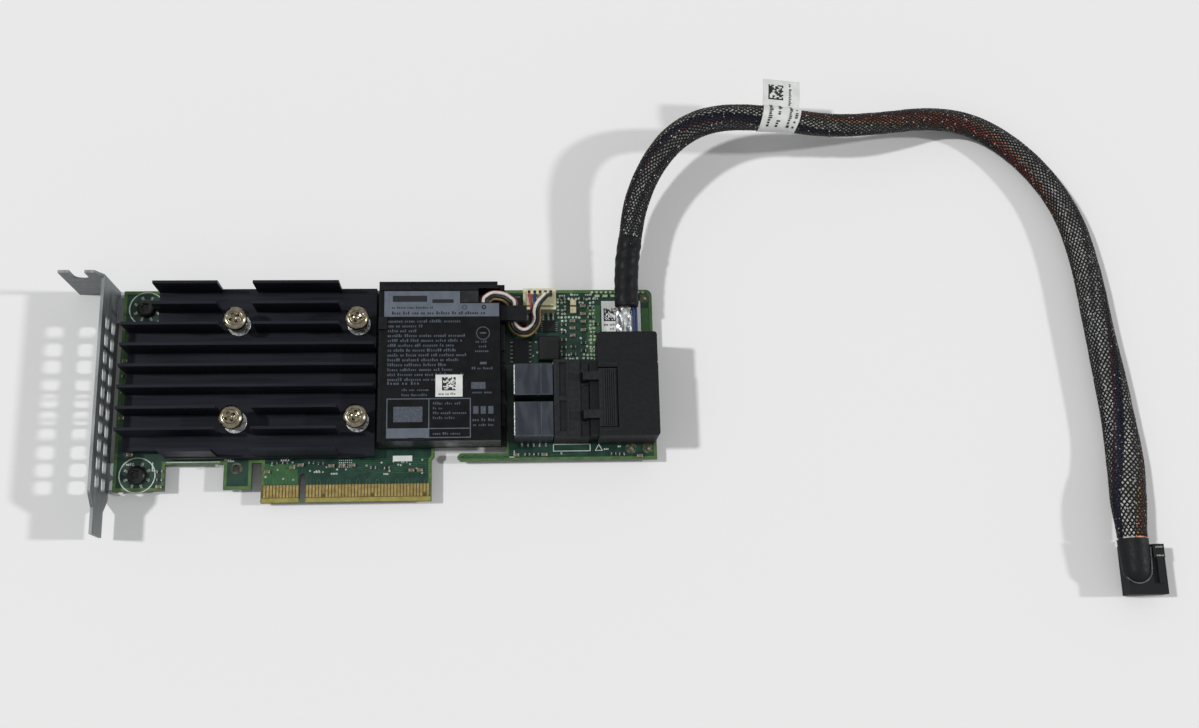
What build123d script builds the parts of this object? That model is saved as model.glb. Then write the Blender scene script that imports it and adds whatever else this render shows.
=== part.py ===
"""A low-profile drive controller card with its battery pack and its cable assembly.

Every X and Y below is measured from the middle of the key notch and from the lower edge of the gold
contacts, and every height from the board's top face. The helpers move those into the part's own frame.
"""

import os
from math import pi, radians, tan

from build123d import *

os.makedirs("parts", exist_ok=True)

# Board outline
board_west = -57.4
board_east = 110.4
board_north = 68.2
board_south_east = 12.3
board_thickness = 1.57
connector_west = -12.6
connector_east = 39.6
key_half_width = 0.95
key_depth = 9.0
bevel_height = 1.4
bevel_depth = 0.4
hook_slot = (-15.6, -12.6, 12.5)
pull_tab = (-24.1, -15.6, 4.35)
pull_tab_hole = (-20.2, 10.88, 1.1)
side_notch = (-41.9, -24.1, 12.3)
ear_south = 4.2
finger_slot = (40.5, 62.6, 14.85, 20.5)
finger_tip = 47.6

# Bracket
bracket_inner = -59.7
sheet = 0.86
bracket_low = -4.3
bracket_width = 18.42
bracket_north = 69.3
bracket_length = 79.2
tab_reach = 12.0
tab_width = 22.6
tongue_width = 10.19
shoulder_south = 2.0
vent_pitch = 5.489
vent_first = 55.42
vent_rows = 10
vent_spacing = 6.6
vent_size = (4.2, 3.9)
bracket_holes = ((-50.15, 62.33), (-50.15, 9.09))

# Heat sink
sink_base = (-54.1, 22.3, 13.5, 67.5)
sink_bottom = 1.9
sink_floor = 4.3
sink_top = 14.3
fin_first = 67.2
fin_pitch = 6.57
fin_thickness = 0.9
sink_screws = ((-20.25, 55.5), (16.95, 55.5), (-20.25, 24.5), (16.95, 24.5))
sink_screw_radius = 1.5
sink_head_radius = 3.6
sink_head_top = 13.4

# Battery
tray = (22.8, 63.1, 16.3, 67.3)
pack = (25.2, 61.2, 16.4, 64.1)
pack_bottom = 2.7
pack_top = 12.9
label_thickness = 0.1

# Ports and plug
port_rows = ((18.0, 28.8), (31.0, 40.9))
housing = (77.7, 88.6, 17.6, 42.2)
housing_top = 10.8
plug_gap = 2.85
plug_west = housing[1] + plug_gap
plug_east = 110.1
plug_south = port_rows[0][0] - 0.8
plug_split = port_rows[1][1] - 0.1
plug_north = 50.4
plug_bottom = 0.8
plug_top = 14.0

# Cable
sleeve_radius = 3.6
braid_radius = 4.2
cable_rest = 0.0
cable_start_y = 60.1
cable_end_y = -15.9
boot_x = 260.3
boot_z = 3.0

# The part's own frame has its origin at the middle of the card's footprint, on the table
key_x = -(bracket_inner - sheet - tab_reach + board_east) / 2
edge_y = -(2 * bracket_north - bracket_length) / 2
top_z = -bracket_low


def level(height):
    """A plane at a height above the board's top face."""
    return Plane(origin=(key_x, edge_y, top_z + height))


def wall_x(x):
    """An upright plane that faces east, with Y and the height as its own two axes."""
    return Plane(origin=(key_x + x, edge_y, top_z), x_dir=(0, 1, 0), z_dir=(1, 0, 0))


def wall_y(y):
    """An upright plane that faces south, with X and the height as its own two axes."""
    return Plane(origin=(key_x, edge_y + y, top_z), x_dir=(1, 0, 0), z_dir=(0, -1, 0))


def field(x0, x1, y0, y1):
    """A rectangle given by its edges."""
    with Locations(((x0 + x1) / 2, (y0 + y1) / 2)):
        Rectangle(x1 - x0, y1 - y0)


def spots(points):
    """Locations for a list of positions."""
    return Locations(*points)


def run(points):
    """A route's corner points in the part's own frame."""
    return [Vector(key_x + x, edge_y + y, top_z + z) for x, y, z in points]


def turn_radii(corners):
    """The arc at each corner that leaves a straight run on both of its sides."""
    runs = [b - a for a, b in zip(corners, corners[1:])]
    radii = []
    for before, after in zip(runs, runs[1:]):
        half_turn = radians(before.get_angle(after)) / 2
        radii.append(0.45 * min(before.length, after.length) / tan(half_turn))
    return radii


def beside(points, side, rise):
    """A route's corner points moved to its left and up, so that every run stays parallel."""
    flat = [Vector(x, y, 0) for x, y, _ in points]
    legs = [(b - a).normalized() for a, b in zip(flat, flat[1:])]
    normals = [Vector(-leg.Y, leg.X, 0) for leg in legs]
    moved = []
    for i, (x, y, z) in enumerate(points):
        before = normals[max(i - 1, 0)]
        after = normals[min(i, len(normals) - 1)]
        step = (before + after) * (side / (1 + before.dot(after)))
        moved.append((x + step.X, y + step.Y, z + rise))
    return moved


# Board
with BuildPart() as circuit_board:
    with BuildSketch(level(-board_thickness)):
        with BuildLine():
            Polyline(
                (board_west, board_north),
                (board_east, board_north),
                (board_east, board_south_east),
                (finger_tip + 0.9, board_south_east),
                (finger_tip, board_south_east + 0.9),
                (finger_tip, finger_slot[2] - 0.9),
                (finger_tip + 0.9, finger_slot[2]),
                (finger_slot[1], finger_slot[2]),
                (finger_slot[1], finger_slot[3]),
                (finger_slot[0], finger_slot[3]),
                (finger_slot[0], board_south_east + 1.6),
                (connector_east, board_south_east + 0.6),
                (connector_east, 0),
                (connector_west, 0),
                (connector_west, hook_slot[2]),
                (hook_slot[0], hook_slot[2]),
                (pull_tab[1], pull_tab[2]),
                (pull_tab[0], pull_tab[2]),
                (pull_tab[0], side_notch[2]),
                (side_notch[0], side_notch[2]),
                (side_notch[0], ear_south),
                (board_west, ear_south),
                close=True,
            )
        make_face()
        with Locations((0, 0)):
            Rectangle(2 * key_half_width, 2 * (key_depth - key_half_width), mode=Mode.SUBTRACT)
        with Locations((0, key_depth - key_half_width)):
            Circle(key_half_width, mode=Mode.SUBTRACT)
        with Locations((pull_tab_hole[0], pull_tab_hole[1])):
            Circle(pull_tab_hole[2], mode=Mode.SUBTRACT)
        with spots(bracket_holes):
            Circle(1.6, mode=Mode.SUBTRACT)
        with spots(sink_screws):
            Circle(sink_screw_radius + 0.1, mode=Mode.SUBTRACT)
        with spots(((83.0, 19.2), (83.0, 39.6))):
            Circle(1.15, mode=Mode.SUBTRACT)
    extrude(amount=board_thickness)
    upright = circuit_board.edges().filter_by(Axis.Z)
    corner = upright.group_by(Axis.X)[-1].sort_by(Axis.Y)[-1]
    fillet(corner, radius=2.0)
    with BuildSketch(wall_x(connector_west)):
        for face, depth in ((0, -bevel_depth), (-board_thickness, bevel_depth)):
            with BuildLine():
                Polyline((0, face), (bevel_height, face), (0, face + depth), close=True)
            make_face()
    extrude(amount=connector_east - connector_west, mode=Mode.SUBTRACT)
circuit_board.part.label = "circuit_board"
export_step(circuit_board.part, "parts/circuit_board.step")

# Gold contacts on both faces of the lower edge
contact_columns = [-(1.5 + k) for k in range(11)] + [1.5 + k for k in range(38)]
short_contacts = (6.5, 21.5, 37.5)
with BuildPart() as edge_contacts:
    for base in (0.0, -board_thickness - 0.05):
        with BuildSketch(level(base)):
            for x in contact_columns:
                start = 2.7 if x in short_contacts else 1.6
                field(x - 0.35, x + 0.35, start, 5.5)
        extrude(amount=0.05)
edge_contacts.part.label = "edge_contacts"
export_step(edge_contacts.part, "parts/edge_contacts.step")

# Mounting bracket
bracket_middle = bracket_low + bracket_width / 2
bracket_high = bracket_low + bracket_width
bracket_foot = bracket_north - bracket_length
taper = (bracket_width - tongue_width) / 2
with BuildPart() as bracket:
    with BuildSketch(wall_x(bracket_inner - sheet)):
        with BuildLine():
            Polyline(
                (bracket_north, bracket_low),
                (bracket_north, bracket_high),
                (shoulder_south, bracket_high),
                (shoulder_south - taper, bracket_high - taper),
                (bracket_foot, bracket_high - taper),
                (bracket_foot, bracket_low + taper),
                (shoulder_south - taper, bracket_low + taper),
                (shoulder_south, bracket_low),
                close=True,
            )
        make_face()
        for row in range(vent_rows):
            for side in (-1, 1):
                place = (vent_first - row * vent_pitch, bracket_middle + side * vent_spacing / 2)
                with Locations(place):
                    RectangleRounded(vent_size[0], vent_size[1], 1.1, mode=Mode.SUBTRACT)
    extrude(amount=sheet)
    with BuildSketch(wall_y(bracket_north)):
        with BuildLine():
            Polyline(
                (bracket_inner - sheet - tab_reach, bracket_low),
                (bracket_inner - sheet - tab_reach, bracket_low + tab_width),
                (bracket_inner - sheet - 1.2, bracket_low + tab_width),
                (bracket_inner, bracket_high),
                (bracket_inner, bracket_low),
                close=True,
            )
        make_face()
        slot_middle = bracket_inner - sheet - 6.35
        with Locations((slot_middle, bracket_low + tab_width - 2.6)):
            Rectangle(4.6, 5.4, mode=Mode.SUBTRACT)
        with Locations((slot_middle, bracket_low + tab_width - 5.2)):
            Circle(2.3, mode=Mode.SUBTRACT)
    extrude(amount=sheet)
    for x, y in bracket_holes:
        with BuildSketch(level(-board_thickness - sheet)):
            field(bracket_inner - sheet / 2, x, y - 4.2, y + 4.2)
            with Locations((x, y)):
                Circle(4.2)
                Circle(sink_screw_radius - 0.1, mode=Mode.SUBTRACT)
        extrude(amount=sheet)
    shoulders = bracket.edges().filter_by(Axis.X).filter_by_position(
        Axis.Y, edge_y + shoulder_south - 0.1, edge_y + shoulder_south + 0.1
    )
    fillet(shoulders, radius=2.5)
bracket.part.label = "bracket"
export_step(bracket.part, "parts/bracket.step")

# Black screws that hold the bracket's lugs under the board
with BuildPart() as bracket_screws:
    with BuildSketch(level(0)):
        with spots(bracket_holes):
            Circle(2.9)
    extrude(amount=1.9)
    fillet(bracket_screws.edges().group_by(Axis.Z)[-1], radius=0.9)
    with BuildSketch(level(-board_thickness - sheet)):
        with spots(bracket_holes):
            Circle(sink_screw_radius - 0.1)
    extrude(amount=board_thickness + sheet)
    with BuildSketch(level(1.0)):
        with spots(bracket_holes):
            Rectangle(2.6, 0.6)
            Rectangle(0.6, 2.6)
    extrude(amount=1.0, mode=Mode.SUBTRACT)
bracket_screws.part.label = "bracket_screws"
export_step(bracket_screws.part, "parts/bracket_screws.step")

# Controller under the heat sink
chip_middle = (-1.65, 40.0)
with BuildPart() as controller_chip:
    with BuildSketch(level(0)):
        with Locations(chip_middle):
            Rectangle(31, 24.6)
    extrude(amount=0.6)
    with BuildSketch(level(0.6)):
        with Locations(chip_middle):
            Rectangle(26, 20)
    extrude(amount=1.0)
controller_chip.part.label = "controller_chip"
export_step(controller_chip.part, "parts/controller_chip.step")

with BuildPart() as thermal_pad:
    with BuildSketch(level(1.6)):
        with Locations(chip_middle):
            Rectangle(24, 18)
    extrude(amount=sink_bottom - 1.6)
thermal_pad.part.label = "thermal_pad"
export_step(thermal_pad.part, "parts/thermal_pad.step")

# Heat sink with nine rows of fins that stop short of its four screws
fin_spans = {
    0: ((-45.3, -25.6), (-14.9, 11.4)),
    1: ((-45.3, -25.6), (-14.9, 11.4)),
    2: ((-54.1, -25.0), (-14.6, 11.7)),
    3: ((-54.1, 22.3),),
    4: ((-54.1, 22.3),),
    5: ((-54.1, 22.3),),
    6: ((-54.1, -24.6), (-14.0, 11.5)),
    7: ((-54.1, -24.6), (-14.0, 11.5)),
    8: ((-41.0, -25.4), (-14.0, 11.5)),
}
with BuildPart() as heatsink:
    with BuildSketch(level(sink_bottom)):
        field(sink_base[0], sink_base[1], 15.9, 55.2)
        field(-45.3, sink_base[1], 55.2, sink_base[3])
        field(-41.0, sink_base[1], sink_base[2], 15.9)
        with spots(sink_screws):
            Circle(sink_screw_radius + 0.3, mode=Mode.SUBTRACT)
    extrude(amount=sink_floor - sink_bottom)
    with BuildSketch(level(sink_floor)):
        for row, spans in fin_spans.items():
            north = fin_first - row * fin_pitch
            for west, east in spans:
                field(west, east, north - fin_thickness, north)
    extrude(amount=sink_top - sink_floor)
heatsink.part.label = "heatsink"
export_step(heatsink.part, "parts/heatsink.step")

# Heat sink fastenings: washer, spring, screw and nut at each corner
washer_top = sink_floor + 0.7
sink_head_bottom = sink_head_top - 2.3
with BuildPart() as heatsink_washers:
    with BuildSketch(level(sink_floor)):
        with spots(sink_screws):
            Circle(3.55)
            Circle(sink_screw_radius + 0.3, mode=Mode.SUBTRACT)
    extrude(amount=washer_top - sink_floor)
heatsink_washers.part.label = "heatsink_washers"
export_step(heatsink_washers.part, "parts/heatsink_washers.step")

with BuildPart() as heatsink_screws:
    with BuildSketch(level(sink_head_bottom)):
        with spots(sink_screws):
            Circle(sink_head_radius)
    extrude(amount=sink_head_top - sink_head_bottom)
    fillet(heatsink_screws.edges().group_by(Axis.Z)[-1], radius=1.3)
    with BuildSketch(level(-board_thickness - 2.1)):
        with spots(sink_screws):
            Circle(sink_screw_radius)
    extrude(amount=sink_head_bottom + board_thickness + 2.1)
    with BuildSketch(level(sink_head_top - 1.2)):
        with spots(sink_screws):
            Rectangle(3.6, 0.8)
            Rectangle(0.8, 3.6)
    extrude(amount=1.2, mode=Mode.SUBTRACT)
heatsink_screws.part.label = "heatsink_screws"
export_step(heatsink_screws.part, "parts/heatsink_screws.step")

# Each spring stands on its washer and presses up under its screw head
spring_wire = 0.35
spring_height = sink_head_bottom - washer_top - 2 * spring_wire
with BuildPart() as heatsink_springs:
    for x, y in sink_screws:
        with BuildLine():
            turns = Helix(
                pitch=spring_height / 3,
                height=spring_height,
                radius=2.45,
                center=(key_x + x, edge_y + y, top_z + washer_top + spring_wire),
            )
        with BuildSketch(Plane(origin=turns @ 0, z_dir=turns % 0)):
            Circle(spring_wire)
        sweep()
heatsink_springs.part.label = "heatsink_springs"
export_step(heatsink_springs.part, "parts/heatsink_springs.step")

with BuildPart() as heatsink_nuts:
    with BuildSketch(level(-board_thickness - 2.1)):
        with spots(sink_screws):
            RegularPolygon(3.2, 6)
            Circle(sink_screw_radius, mode=Mode.SUBTRACT)
    extrude(amount=2.1)
heatsink_nuts.part.label = "heatsink_nuts"
export_step(heatsink_nuts.part, "parts/heatsink_nuts.step")

# Memory chips under the battery and behind the board
memory_rows = (25.5, 36.5, 47.5, 58.5)
with BuildPart() as memory_chips:
    with BuildSketch(level(0)):
        for y in memory_rows:
            with Locations((34.5, y), (47.5, y)):
                Rectangle(10.5, 8.0)
    extrude(amount=1.1)
    with BuildSketch(level(-board_thickness - 1.1)):
        for y in memory_rows:
            with Locations((34.5, y)):
                Rectangle(10.5, 8.0)
    extrude(amount=1.1)
memory_chips.part.label = "memory_chips"
export_step(memory_chips.part, "parts/memory_chips.step")

# Battery tray on four feet, open to the south
lead_notch = (54.5, 60.2, 8.4)
label_step = 49.0
lid_east = 60.5
with BuildPart() as battery_tray:
    with BuildSketch(level(0)):
        with Locations((28.0, 20.0), (58.0, 28.0), (27.0, 63.5), (58.0, 63.5)):
            Circle(1.6)
    extrude(amount=1.5)
    with BuildSketch(level(1.5)):
        field(tray[0], tray[1], tray[2], tray[3])
    extrude(amount=pack_bottom - 1.5)
    with BuildSketch(level(pack_bottom)):
        field(23.8, pack[0], pack[2], 67.0)
        field(pack[0], lid_east, 65.8, 67.0)
    extrude(amount=12.2 - pack_bottom)
    with BuildSketch(level(pack_bottom)):
        field(lid_east, 61.2, 65.8, 67.0)
        field(61.2, 62.7, 65.2, 67.0)
    extrude(amount=9.4 - pack_bottom)
    with BuildSketch(level(pack_bottom)):
        field(61.4, 62.6, 22.0, 54.5)
    extrude(amount=4.4)
    with BuildSketch(level(12.2)):
        field(23.8, lead_notch[0], 64.3, 67.0)
        field(lead_notch[0], lid_east, 64.9, 67.0)
    extrude(amount=0.8)
    with BuildSketch(level(12.2)):
        field(23.8, pack[0], 51.5, 55.3)
    extrude(amount=1.5)
    with BuildSketch(level(pack_top + label_thickness)):
        field(pack[0] - 0.2, 26.3, 51.5, 55.3)
    extrude(amount=0.7)
battery_tray.part.label = "battery_tray"
export_step(battery_tray.part, "parts/battery_tray.step")

with BuildPart() as battery_pack:
    with BuildSketch(level(pack_bottom)):
        field(pack[0], pack[1], pack[2], pack[3])
    extrude(amount=pack_top - pack_bottom)
    with BuildSketch(level(lead_notch[2])):
        field(lead_notch[0], pack[1], lead_notch[1], pack[3])
    extrude(amount=pack_top - lead_notch[2], mode=Mode.SUBTRACT)
battery_pack.part.label = "battery_pack"
export_step(battery_pack.part, "parts/battery_pack.step")

with BuildPart() as battery_label:
    with BuildSketch(level(pack_top)):
        field(pack[0], pack[1], pack[2], lead_notch[1])
        field(pack[0], label_step, lead_notch[1], pack[3])
    extrude(amount=label_thickness)
battery_label.part.label = "battery_label"
export_step(battery_label.part, "parts/battery_label.step")

# The label's print: its heading field, a framed table and two blocks that stand for text
print_level = pack_top + label_thickness
print_thickness = 0.02
with BuildPart() as battery_label_print:
    with BuildSketch(level(print_level)):
        field(26.8, 48.8, 55.6, 63.9)
        field(48.8, 60.9, 55.6, 59.9)
        field(26.5, 39.5, 17.2, 20.3)
        field(26.5, 26.8, 20.3, 29.6)
        field(26.8, 52.1, 29.3, 29.6)
        field(39.2, 39.5, 20.3, 29.3)
        field(51.8, 52.1, 17.2, 29.3)
        field(39.5, 51.8, 17.2, 17.5)
        field(39.5, 51.8, 20.0, 20.3)
    extrude(amount=print_thickness)
battery_label_print.part.label = "battery_label_print"
export_step(battery_label_print.part, "parts/battery_label_print.step")

with BuildPart() as battery_sticker:
    with BuildSketch(level(print_level)):
        field(41.3, 49.6, 30.0, 37.0)
    extrude(amount=0.06)
battery_sticker.part.label = "battery_sticker"
export_step(battery_sticker.part, "parts/battery_sticker.step")

# Battery connector: a shrouded header on the board and the plug pushed into it from above
header = (68.6, 79.1, 60.3, 67.3)
plug_top_face = 6.0
with BuildPart() as battery_header:
    with BuildSketch(level(0)):
        field(header[0], header[1], header[2], header[3])
    extrude(amount=4.6)
    with BuildSketch(level(1.2)):
        field(header[0] + 0.9, header[1] - 0.9, header[2] + 0.9, header[3] - 0.9)
    extrude(amount=4.6, mode=Mode.SUBTRACT)
battery_header.part.label = "battery_header"
export_step(battery_header.part, "parts/battery_header.step")

with BuildPart() as battery_plug:
    with BuildSketch(level(1.2)):
        field(header[0] + 1.0, header[1] - 1.0, header[2] + 1.0, header[3] - 1.0)
    extrude(amount=plug_top_face - 1.2)
battery_plug.part.label = "battery_plug"
export_step(battery_plug.part, "parts/battery_plug.step")

with BuildPart() as header_pins:
    with BuildSketch(level(0)):
        for x in (69.9, 71.6, 73.3, 75.0, 76.7, 78.2):
            field(x - 0.3, x + 0.3, 57.9, header[2])
    extrude(amount=0.4)
header_pins.part.label = "header_pins"
export_step(header_pins.part, "parts/header_pins.step")

# Block that clamps the battery leads, on a foot beside the pack
with BuildPart() as lead_clip:
    with BuildSketch(level(0)):
        field(68.0, 69.6, 55.2, 60.0)
    extrude(amount=8.6)
    with BuildSketch(level(8.6)):
        field(61.4, 69.6, 55.2, 60.0)
    extrude(amount=1.6)
lead_clip.part.label = "lead_clip"
export_step(lead_clip.part, "parts/lead_clip.step")

# Battery leads: out of the pack's notch, under the clip, round in a loop and down into the plug
lead_radius = 0.5
lead_step = 1.15
lead_middle = [
    (56.6, lead_notch[1], 11.0),
    (56.6, 61.6, 11.0),
    (58.8, 63.2, 11.0),
    (62.6, 63.2, 9.6),
    (65.2, 61.6, 7.9),
    (65.2, 60.0, 6.8),
    (65.2, 54.2, 4.5),
    (69.4, 52.4, 3.7),
    (72.8, 55.8, 4.3),
    (72.4, 60.2, 7.9),
]


def lead_corners(side, rise, socket):
    """One battery lead's corner points, from the pack to its socket in the plug."""
    last = [(socket, 64.6, 7.7 + rise), (socket, 64.6, plug_top_face)]
    return run(beside(lead_middle, side * lead_step, rise) + last)


with BuildPart() as battery_lead_red:
    corners = lead_corners(1, 0, 70.5)
    with BuildLine() as lead_path:
        FilletPolyline(*corners, radius=turn_radii(corners))
    with BuildSketch(Plane(origin=lead_path.line @ 0, z_dir=lead_path.line % 0)):
        Circle(lead_radius)
    sweep()
battery_lead_red.part.label = "battery_lead_red"
export_step(battery_lead_red.part, "parts/battery_lead_red.step")

with BuildPart() as battery_lead_blue:
    corners = lead_corners(0, 0, 72.3)
    with BuildLine() as lead_path:
        FilletPolyline(*corners, radius=turn_radii(corners))
    with BuildSketch(Plane(origin=lead_path.line @ 0, z_dir=lead_path.line % 0)):
        Circle(lead_radius)
    sweep()
battery_lead_blue.part.label = "battery_lead_blue"
export_step(battery_lead_blue.part, "parts/battery_lead_blue.step")

with BuildPart() as battery_lead_yellow:
    corners = lead_corners(-1, 0, 74.0)
    with BuildLine() as lead_path:
        FilletPolyline(*corners, radius=turn_radii(corners))
    with BuildSketch(Plane(origin=lead_path.line @ 0, z_dir=lead_path.line % 0)):
        Circle(lead_radius)
    sweep()
battery_lead_yellow.part.label = "battery_lead_yellow"
export_step(battery_lead_yellow.part, "parts/battery_lead_yellow.step")

with BuildPart() as battery_lead_white:
    corners = lead_corners(0.5, lead_step, 75.7)
    with BuildLine() as lead_path:
        FilletPolyline(*corners, radius=turn_radii(corners))
    with BuildSketch(Plane(origin=lead_path.line @ 0, z_dir=lead_path.line % 0)):
        Circle(lead_radius)
    sweep()
battery_lead_white.part.label = "battery_lead_white"
export_step(battery_lead_white.part, "parts/battery_lead_white.step")

with BuildPart() as battery_lead_black:
    corners = lead_corners(-0.5, lead_step, 77.4)
    with BuildLine() as lead_path:
        FilletPolyline(*corners, radius=turn_radii(corners))
    with BuildSketch(Plane(origin=lead_path.line @ 0, z_dir=lead_path.line % 0)):
        Circle(lead_radius)
    sweep()
battery_lead_black.part.label = "battery_lead_black"
export_step(battery_lead_black.part, "parts/battery_lead_black.step")

# Power parts on the right of the pack
with BuildPart() as power_inductor:
    with BuildSketch(level(0)):
        field(73.3, 80.1, 44.1, 52.1)
    extrude(amount=3.0)
    chamfer(power_inductor.edges().group_by(Axis.Z)[-1], length=0.4)
power_inductor.part.label = "power_inductor"
export_step(power_inductor.part, "parts/power_inductor.step")

with BuildPart() as power_chip:
    with BuildSketch(level(0)):
        field(65.3, 70.3, 43.2, 51.4)
    extrude(amount=1.4)
power_chip.part.label = "power_chip"
export_step(power_chip.part, "parts/power_chip.step")

with BuildPart() as charger_chip:
    with BuildSketch(level(0)):
        field(75.0, 78.9, 54.0, 57.7)
    extrude(amount=1.0)
charger_chip.part.label = "charger_chip"
export_step(charger_chip.part, "parts/charger_chip.step")

# Leads of the two chips, standing out on both long sides
with BuildPart() as chip_leads:
    with BuildSketch(level(0)):
        for k in range(6):
            y = 44.2 + 1.28 * k
            field(64.4, 65.3, y - 0.2, y + 0.2)
            field(70.3, 71.2, y - 0.2, y + 0.2)
        for k in range(5):
            y = 54.5 + 0.68 * k
            field(74.3, 75.0, y - 0.15, y + 0.15)
            field(78.9, 79.6, y - 0.15, y + 0.15)
    extrude(amount=0.3)
chip_leads.part.label = "chip_leads"
export_step(chip_leads.part, "parts/chip_leads.step")

# Cream chip parts beside the battery connector
with BuildPart() as film_capacitors:
    with BuildSketch(level(0)):
        field(83.8, 85.7, 62.7, 64.6)
        field(83.8, 85.7, 60.1, 62.2)
    extrude(amount=1.2)
film_capacitors.part.label = "film_capacitors"
export_step(film_capacitors.part, "parts/film_capacitors.step")

# Small chip parts, each with a tinned cap at both ends
resistor_places = [
    (81.6, 56.4), (81.6, 53.9), (81.6, 51.4), (81.6, 48.9), (84.6, 49.0), (84.6, 46.6), (87.9, 50.4),
    (87.9, 47.8), (90.3, 62.0), (90.3, 59.0), (81.2, 65.4), (87.6, 65.2), (92.0, 56.6), (92.0, 53.4),
    (71.9, 53.6), (81.6, 46.4), (2.6, 12.3), (5.5, 12.1), (-8.6, 12.2), (-5.4, 12.4), (96.6, 14.0),
    (99.2, 14.0), (72.2, 14.2), (69.4, 14.2), (25.8, 10.4), (21.6, 10.6), (-43.3, 10.2), (-43.3, 7.6),
    (-55.7, 40.4), (-55.7, 30.2), (-55.7, 22.6), (-55.7, 50.6),
]
capacitor_places = [
    (84.4, 57.6), (84.4, 55.2), (84.4, 52.8), (87.9, 62.6), (87.9, 60.0), (87.9, 57.4), (87.9, 54.6),
    (71.9, 55.8), (66.4, 53.4), (69.0, 53.4), (-3.2, 10.8), (-0.6, 11.6), (8.8, 11.2), (12.0, 11.5),
    (15.2, 11.4), (33.4, 9.6), (36.0, 9.6), (-10.8, 9.6), (-52.6, 15.4), (-43.3, 5.4), (66.0, 14.0),
    (74.8, 14.0), (104.9, 13.3), (-55.7, 35.4), (-55.7, 27.0), (-55.7, 45.2),
]
back_places = [(x, y) for x in (-24.0, -8.0, 8.0, 60.0, 70.0, 88.0, 97.0) for y in (30.0, 40.0, 50.0)]
with BuildPart() as resistors:
    with BuildSketch(level(0)):
        with spots(resistor_places):
            Rectangle(1.0, 0.9)
    extrude(amount=0.5)
resistors.part.label = "resistors"
export_step(resistors.part, "parts/resistors.step")

with BuildPart() as capacitors:
    with BuildSketch(level(0)):
        with spots(capacitor_places):
            Rectangle(1.0, 1.0)
    extrude(amount=0.8)
    with BuildSketch(level(-board_thickness - 0.8)):
        with spots(back_places):
            Rectangle(1.0, 1.0)
    extrude(amount=0.8)
capacitors.part.label = "capacitors"
export_step(capacitors.part, "parts/capacitors.step")

with BuildPart() as end_caps:
    with BuildSketch(level(0)):
        with spots([(x + side * 0.7, y) for x, y in resistor_places for side in (-1, 1)]):
            Rectangle(0.4, 0.9)
    extrude(amount=0.52)
    with BuildSketch(level(0)):
        with spots([(x + side * 0.7, y) for x, y in capacitor_places for side in (-1, 1)]):
            Rectangle(0.4, 1.0)
    extrude(amount=0.82)
    with BuildSketch(level(-board_thickness - 0.82)):
        with spots([(x + side * 0.7, y) for x, y in back_places for side in (-1, 1)]):
            Rectangle(0.4, 1.0)
    extrude(amount=0.82)
end_caps.part.label = "end_caps"
export_step(end_caps.part, "parts/end_caps.step")

# Ports: a metal cage over each connector body, and one plastic housing in front of both
with BuildPart() as port_cages:
    for south, north in port_rows:
        with BuildSketch(level(0)):
            field(65.4, 77.4, south, north)
            with Locations(((66.0 + 77.4) / 2, (south + north) / 2)):
                Rectangle(77.4 - 66.0, north - south - 1.0, mode=Mode.SUBTRACT)
        extrude(amount=10.2)
        with BuildSketch(level(10.2)):
            field(65.4, 77.4, south, north)
        extrude(amount=0.4)
port_cages.part.label = "port_cages"
export_step(port_cages.part, "parts/port_cages.step")

with BuildPart() as port_cores:
    with BuildSketch(level(0)):
        for south, north in port_rows:
            field(66.2, 77.4, south + 0.7, north - 0.7)
    extrude(amount=9.9)
port_cores.part.label = "port_cores"
export_step(port_cores.part, "parts/port_cores.step")

mouths = ((18.9, 28.9), (30.9, 40.9))
mouth_depth = 8.2
windows = ((22.6, 25.8), (34.7, 37.9))
window_west = housing[1] - 2.2
window_east = housing[1] - 0.5
with BuildPart() as port_housing:
    with BuildSketch(level(0)):
        field(housing[0], housing[1], housing[2], housing[3])
    extrude(amount=10.1)
    with BuildSketch(level(10.1)):
        field(housing[0], 85.8, housing[2], housing[3])
    extrude(amount=housing_top - 10.1)
    with BuildSketch(wall_x(housing[1])):
        for south, north in mouths:
            field(south, north, 1.4, 9.2)
    extrude(amount=-mouth_depth, mode=Mode.SUBTRACT)
    with BuildSketch(level(9.9)):
        field(79.3, 81.6, 19.3, 29.0)
        field(79.3, 81.6, 30.4, 41.2)
    extrude(amount=2, mode=Mode.SUBTRACT)
    with BuildSketch(level(9.0)):
        for south, north in windows:
            field(window_west, window_east, south, north)
    extrude(amount=2, mode=Mode.SUBTRACT)
port_housing.part.label = "port_housing"
export_step(port_housing.part, "parts/port_housing.step")

with BuildPart() as port_pegs:
    with BuildSketch(level(bracket_low)):
        with spots(((83.0, 19.2), (83.0, 39.6))):
            Circle(1.0)
    extrude(amount=-bracket_low)
port_pegs.part.label = "port_pegs"
export_step(port_pegs.part, "parts/port_pegs.step")

# Plug pushed into both ports: its metal noses, its moulded body and the cap that the cable leaves by
nose_gap = 0.15
with BuildPart() as plug_noses:
    with BuildSketch(wall_x(plug_west)):
        for south, north in mouths:
            field(south + nose_gap, north - nose_gap, 1.4 + nose_gap, 9.2 - nose_gap)
    extrude(amount=housing[1] - mouth_depth + 0.45 - plug_west)
    with BuildSketch(wall_x(plug_west)):
        field(18.2, 41.4, 1.4, 11.4)
    extrude(amount=-2.6)
plug_noses.part.label = "plug_noses"
export_step(plug_noses.part, "parts/plug_noses.step")

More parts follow.
